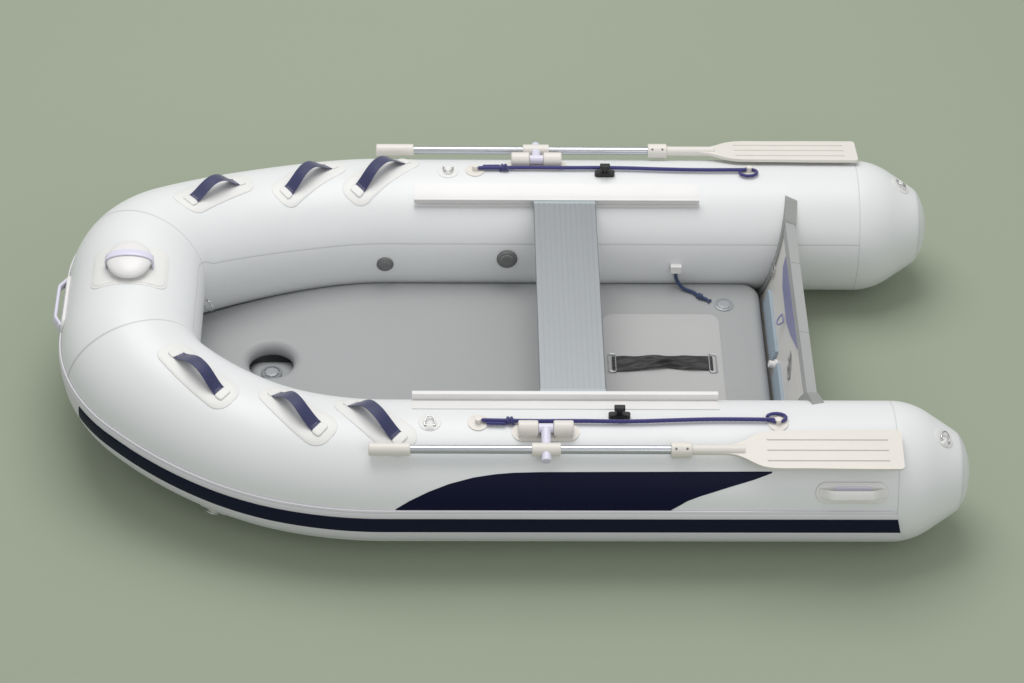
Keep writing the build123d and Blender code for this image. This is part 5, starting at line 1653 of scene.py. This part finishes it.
neck = oval_stack("neck", bow_top, [(0.058, 0.068, -0.006), (0.058, 0.068, 0.002), (0.056, 0.066, 0.0042),
                                    (0.046, 0.056, 0.0056), (0.042, 0.052, 0.0080), (0.041, 0.051, 0.0140)])
dome = oval_stack("dome", bow_top, dome_steps())
settle(joined("bow_dome", [dome, neck]), "white_moulding", "fairlead_housing", finish=white_moulding)

reach, high = DOME[0] / 2 + BELT_GAP, DOME[2] + BELT_GAP
turns = np.linspace(0, pi, 40)
hoop = np.stack([reach * np.cos(turns), 0 * turns, DOME_LIFT + high * np.sin(turns)], -1)
leg = np.stack([np.full(8, reach), np.zeros(8), np.linspace(-0.010, DOME_LIFT - 0.002, 8)], -1)
centres = bow_top + np.concatenate([leg, hoop, leg[::-1] * [-1, 1, 1]])
ahead = unit(np.gradient(centres, axis=0))
acrosses = np.broadcast_to([0.0, 1.0, 0.0], centres.shape)
normals = unit(np.cross(acrosses, ahead))
normals *= np.sign((normals * (centres - bow_top - [0, 0, 0.002])).sum(1))[:, None]
belt = ribbon("bow_belt", centres, normals, acrosses, BELT_WIDTH, BELT_THICK)
settle(belt, "pin_plastic", finish=lilac_moulding)
print("bow fitting made")

# %% [markdown]
# ## Grab lines and tether
# Each grab line gets the pieces on it: a wrapped knot by its fore eye, a second strand beside its first
# stretch, and a loop round its aft eye. The tether hangs from its clip, lies along the deck, and ends in a
# knot with frayed tails.

# %% Rope details
def wrapped(name, centre, axis, reach, turns, pitch, size):
    """A short coil of rope wrapped round an axis."""
    axis = unit(np.array(axis, float))
    first = unit(np.cross(axis, [0.2, 0.3, 0.9]))
    second = np.cross(axis, first)
    spin = np.linspace(0, 2 * pi * turns, int(turns * 26))[:, None]
    spokes = np.cos(spin) * first + np.sin(spin) * second
    line = centre + axis * pitch * (spin / (2 * pi) - turns / 2) + reach * spokes
    return braided(name, line, size, taper=blunt)[0]


KNOT_SIZE, STRAND_SIZE, LOOP_SIZE, TAIL_SIZE = 0.009, 0.0095, 0.010, 0.0062
KNOT_POINT = 6                # which point of a rope's line the knot is tied at
base_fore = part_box("port_rowlock_base")[1].x
for side_name, side in SIDES.items():
    rope, line = ropes[side_name], rope_lines[side_name]
    knot = wrapped("knot", line[KNOT_POINT], line[KNOT_POINT + 1] - line[KNOT_POINT - 1], reach=0.0085,
                   turns=2.3, pitch=0.0105, size=KNOT_SIZE)
    near = line[line[:, 0] > base_fore + 0.012]
    strand = braided("strand", near[1:] + [0, side * 0.0108, -0.0018], STRAND_SIZE, taper=blunt)[0]
    eye = seat(side, EYE_STATIONS[1] - CONE_LENGTH, 90)
    turns = np.linspace(0.1, 2 * pi - 0.1, 60)
    looped = laid(eye, 0.0275 * np.cos(turns) + 0.004, 0.0165 * np.sin(turns), 0.0092 + 0 * turns)
    loop = braided("loop", looped, LOOP_SIZE, taper=blunt)[0]
    turn = settle(joined(f"{side_name}_rope_turns", [knot, strand, loop]), "navy_rope", finish=navy_rope)
    settle(rope, "navy_rope", f"{side_name}_grab_line")

TETHER_X, TETHER_Y = station(0.814), -0.346
TETHER_TOP, TETHER_REST = 0.1947, 0.1386
TETHER_STEPS = ((0, 0, TETHER_TOP), (0, 0.0005, TETHER_REST + 0.0346), (0.0126, 0.001, TETHER_REST + 0.0126),
                (0.0344, -0.001, TETHER_REST), (0.065, 0.005, TETHER_REST), (0.094, -0.006, TETHER_REST),
                (0.120, -0.004, TETHER_REST))
AHEAD, ASIDE = np.array([-0.843, 0.538, 0]), np.array([-0.538, -0.843, 0])
points = [np.array([TETHER_X, TETHER_Y, z]) + AHEAD * far + ASIDE * wide for far, wide, z in TETHER_STEPS]
tether_line = curve_line(route_curve("tether_route", [tuple(p) for p in points]))
tether_piece, _ = braided("tether_line", tether_line, ROPE, taper=blunt)
last = tether_line[-1]
ends = [wrapped("tether_knot", last - AHEAD * 0.026 + [0, 0, 0.002], AHEAD, reach=0.0062, turns=2.2,
                pitch=0.0085, size=0.0085)]
for spread, far in ((-0.60, 0.015), (0.06, 0.017), (0.62, 0.014)):
    tail = [last + AHEAD * (far * part - 0.003) + ASIDE * spread * far * part ** 1.4 + [0, 0, -0.003 * part]
            for part in np.linspace(0, 1, 14)]
    ends.append(braided("tail", np.array(tail), TAIL_SIZE, strands=4, taper=lambda p: 1.0 - 0.35 * p)[0])
tether_ends = settle(joined("tether_ends", ends), "navy_rope", finish=tether_rope)
settle(tether_piece, "navy_rope", "tether", finish=tether_rope)
print("ropes dressed")

# %% [markdown]
# ## Transom fittings
# The inner face carries a plastic loop on the motor pad, a steel buckle on a fabric tab, a small clip, and a
# flat dark grey piece of three corners with three bright eyes, below the motor pad.

# %% Transom fittings
ACROSS, UP_SLOPE = np.array([0.0, 1.0, 0.0]), np.array([-sin(RAKE), 0, cos(RAKE)])


def transom_pad(name, y, up, outline, height, lift=0.0003, crown=0.0):
    """A flat pad on the transom's inner face."""
    return flat_pad(name, on_transom(y, up, lift), ACROSS, -UP_SLOPE, outline, height, edge=0.002,
                    crown=crown)


def transom_loop(name, y, up, outline, lift, size, lean=0.0):
    """A wire loop on the transom's inner face, leaning off it."""
    points = [on_transom(y + a, up - b, lift + abs(b) * lean) for a, b in outline]
    return wire_loop(name, points, size)


DARK_PAD, BUCKLE, CLIP, LOOP = (0.150, 0.246), (-0.339, 0.226), (-0.453, 0.279), (-0.058, 0.262)
EYES = ((0.150, 0.243), (0.184, 0.236), (0.128, 0.262))
EYE_PROFILE = [(0.0070, 0, 0), (0.0070, 0.0015, 0), (0.0050, 0.0030, 0), (0.0020, 0.0036, 0)]
PAD_THICK = 0.003

triangle = np.array([(-0.052, -0.028), (-0.020, -0.034), (0.024, -0.018), (0.052, 0.004), (0.030, 0.024),
                     (-0.006, 0.018)])
# A flat dark grey piece of three corners below the motor pad, with the three eyes on it.
grey_pad = transom_pad("transom_dark_pad", *DARK_PAD, triangle, PAD_THICK)
settle(grey_pad, "grey_trim", finish=holder_grey)
tab = transom_pad("buckle_tab", *BUCKLE, rounded_box(0.062, 0.030, 0.005), PAD_THICK, crown=0.002)
clip = transom_pad("transom_clip", *CLIP, rounded_box(0.034, 0.018, 0.006), height=0.007, crown=0.002)
settle(joined("transom_tabs", [tab, clip]), "white_moulding", finish=cream_moulding)
pad_loop = transom_loop("transom_loop", *LOOP, d_outline(0.036, 0.024), lift=0.0075, size=0.005, lean=0.5)
settle(pad_loop, "motor_pad", finish=pad_lavender)
bright = [transom_loop("buckle", *BUCKLE, rounded_box(0.056, 0.036, 0.006), lift=0.006, size=0.004),
          transom_loop("buckle_bar", *BUCKLE, rounded_box(0.052, 0.007, 0.003), lift=0.0075, size=0.003)]
for y, up in EYES:
    bright.append(turned("eye", on_transom(y, up, PAD_THICK + 0.0003), (cos(RAKE), 0, sin(RAKE)), EYE_PROFILE,
                         size=28))
settle(joined("transom_bright", bright), "steel", finish=steel)
print("transom fittings made")

# %% [markdown]
# ## Screws in the oar collars
# Two dark screws hold each collar to its shaft.

# %% Collar screws
for side_name, side in SIDES.items():
    low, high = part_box(f"{side_name}_oar_collar")
    middle, reach = (low + high) / 2, (high.z - low.z) / 2
    tilt = radians(52)
    out = np.array([0, cos(tilt), sin(tilt)])
    spots = [np.array(middle) + [dx, 0, 0] + out * (reach - 0.0006) for dx in (-0.016, 0.016)]
    screws = row_of(f"{side_name}_collar_screws", spots, [out] * 2, [(1, 0, 0)] * 2, screw, black_plastic)
    settle(screws, "black_plastic", body=f"{side_name}_oar")
for part in (stitch, screw):
    bpy.data.objects.remove(part)
print("collar screws set")

# %% [markdown]
# ## Floor, backdrop and light
# The boat stands on a plain studio floor.

# %% Stage and light
def studio(name, colour):
    """The stage's finish: one dull colour that drifts a hair."""
    finish = Finish(name, roughness=0.9)
    place = finish.coords()
    finish.set(Base_Color=finish.blend(finish.noise(place, 0.8), shaded(colour, 0.99), shaded(colour, 1.01)))
    return finish.material


STAGE_COLOUR = srgb(156, 165, 146)
STAGE_HALF = 14
LAMP_COLOUR, SKY_COLOUR = (1.0, 0.985, 0.965), (0.965, 0.975, 0.985, 1.0)

corners = [(x * STAGE_HALF, y * STAGE_HALF, 0) for x, y in ((-1, -1), (1, -1), (1, 1), (-1, 1))]
ground = new_piece("studio_floor", corners, [(0, 1, 2, 3)])
ground.data.materials.append(studio("studio_floor", STAGE_COLOUR))

world = bpy.data.worlds.new("studio")
world.use_nodes = True
sky = world.node_tree.nodes["Background"]
sky.inputs["Color"].default_value = SKY_COLOUR
sky.inputs["Strength"].default_value = 0.54
bpy.context.scene.world = world


def soft_box(name, place, aim, size, power):
    """A square area lamp that looks at a point."""
    lamp = bpy.data.lights.new(name, "AREA")
    lamp.size, lamp.energy, lamp.color = size, power, LAMP_COLOUR
    made = bpy.data.objects.new(name, lamp)
    made.location = place
    made.rotation_euler = (Vector(aim) - Vector(place)).to_track_quat("-Z", "Y").to_euler()
    bpy.context.scene.collection.objects.link(made)
    return made


soft_box("overhead", (0.5, -1.8, 6.4), aim=(-0.2, 0, 0.2), size=4.6, power=262)
soft_box("fill", (-2.0, 5.0, 3.5), aim=(0, 0, 0.3), size=3.0, power=42)
scene = bpy.context.scene
scene.view_settings.view_transform = "Standard"
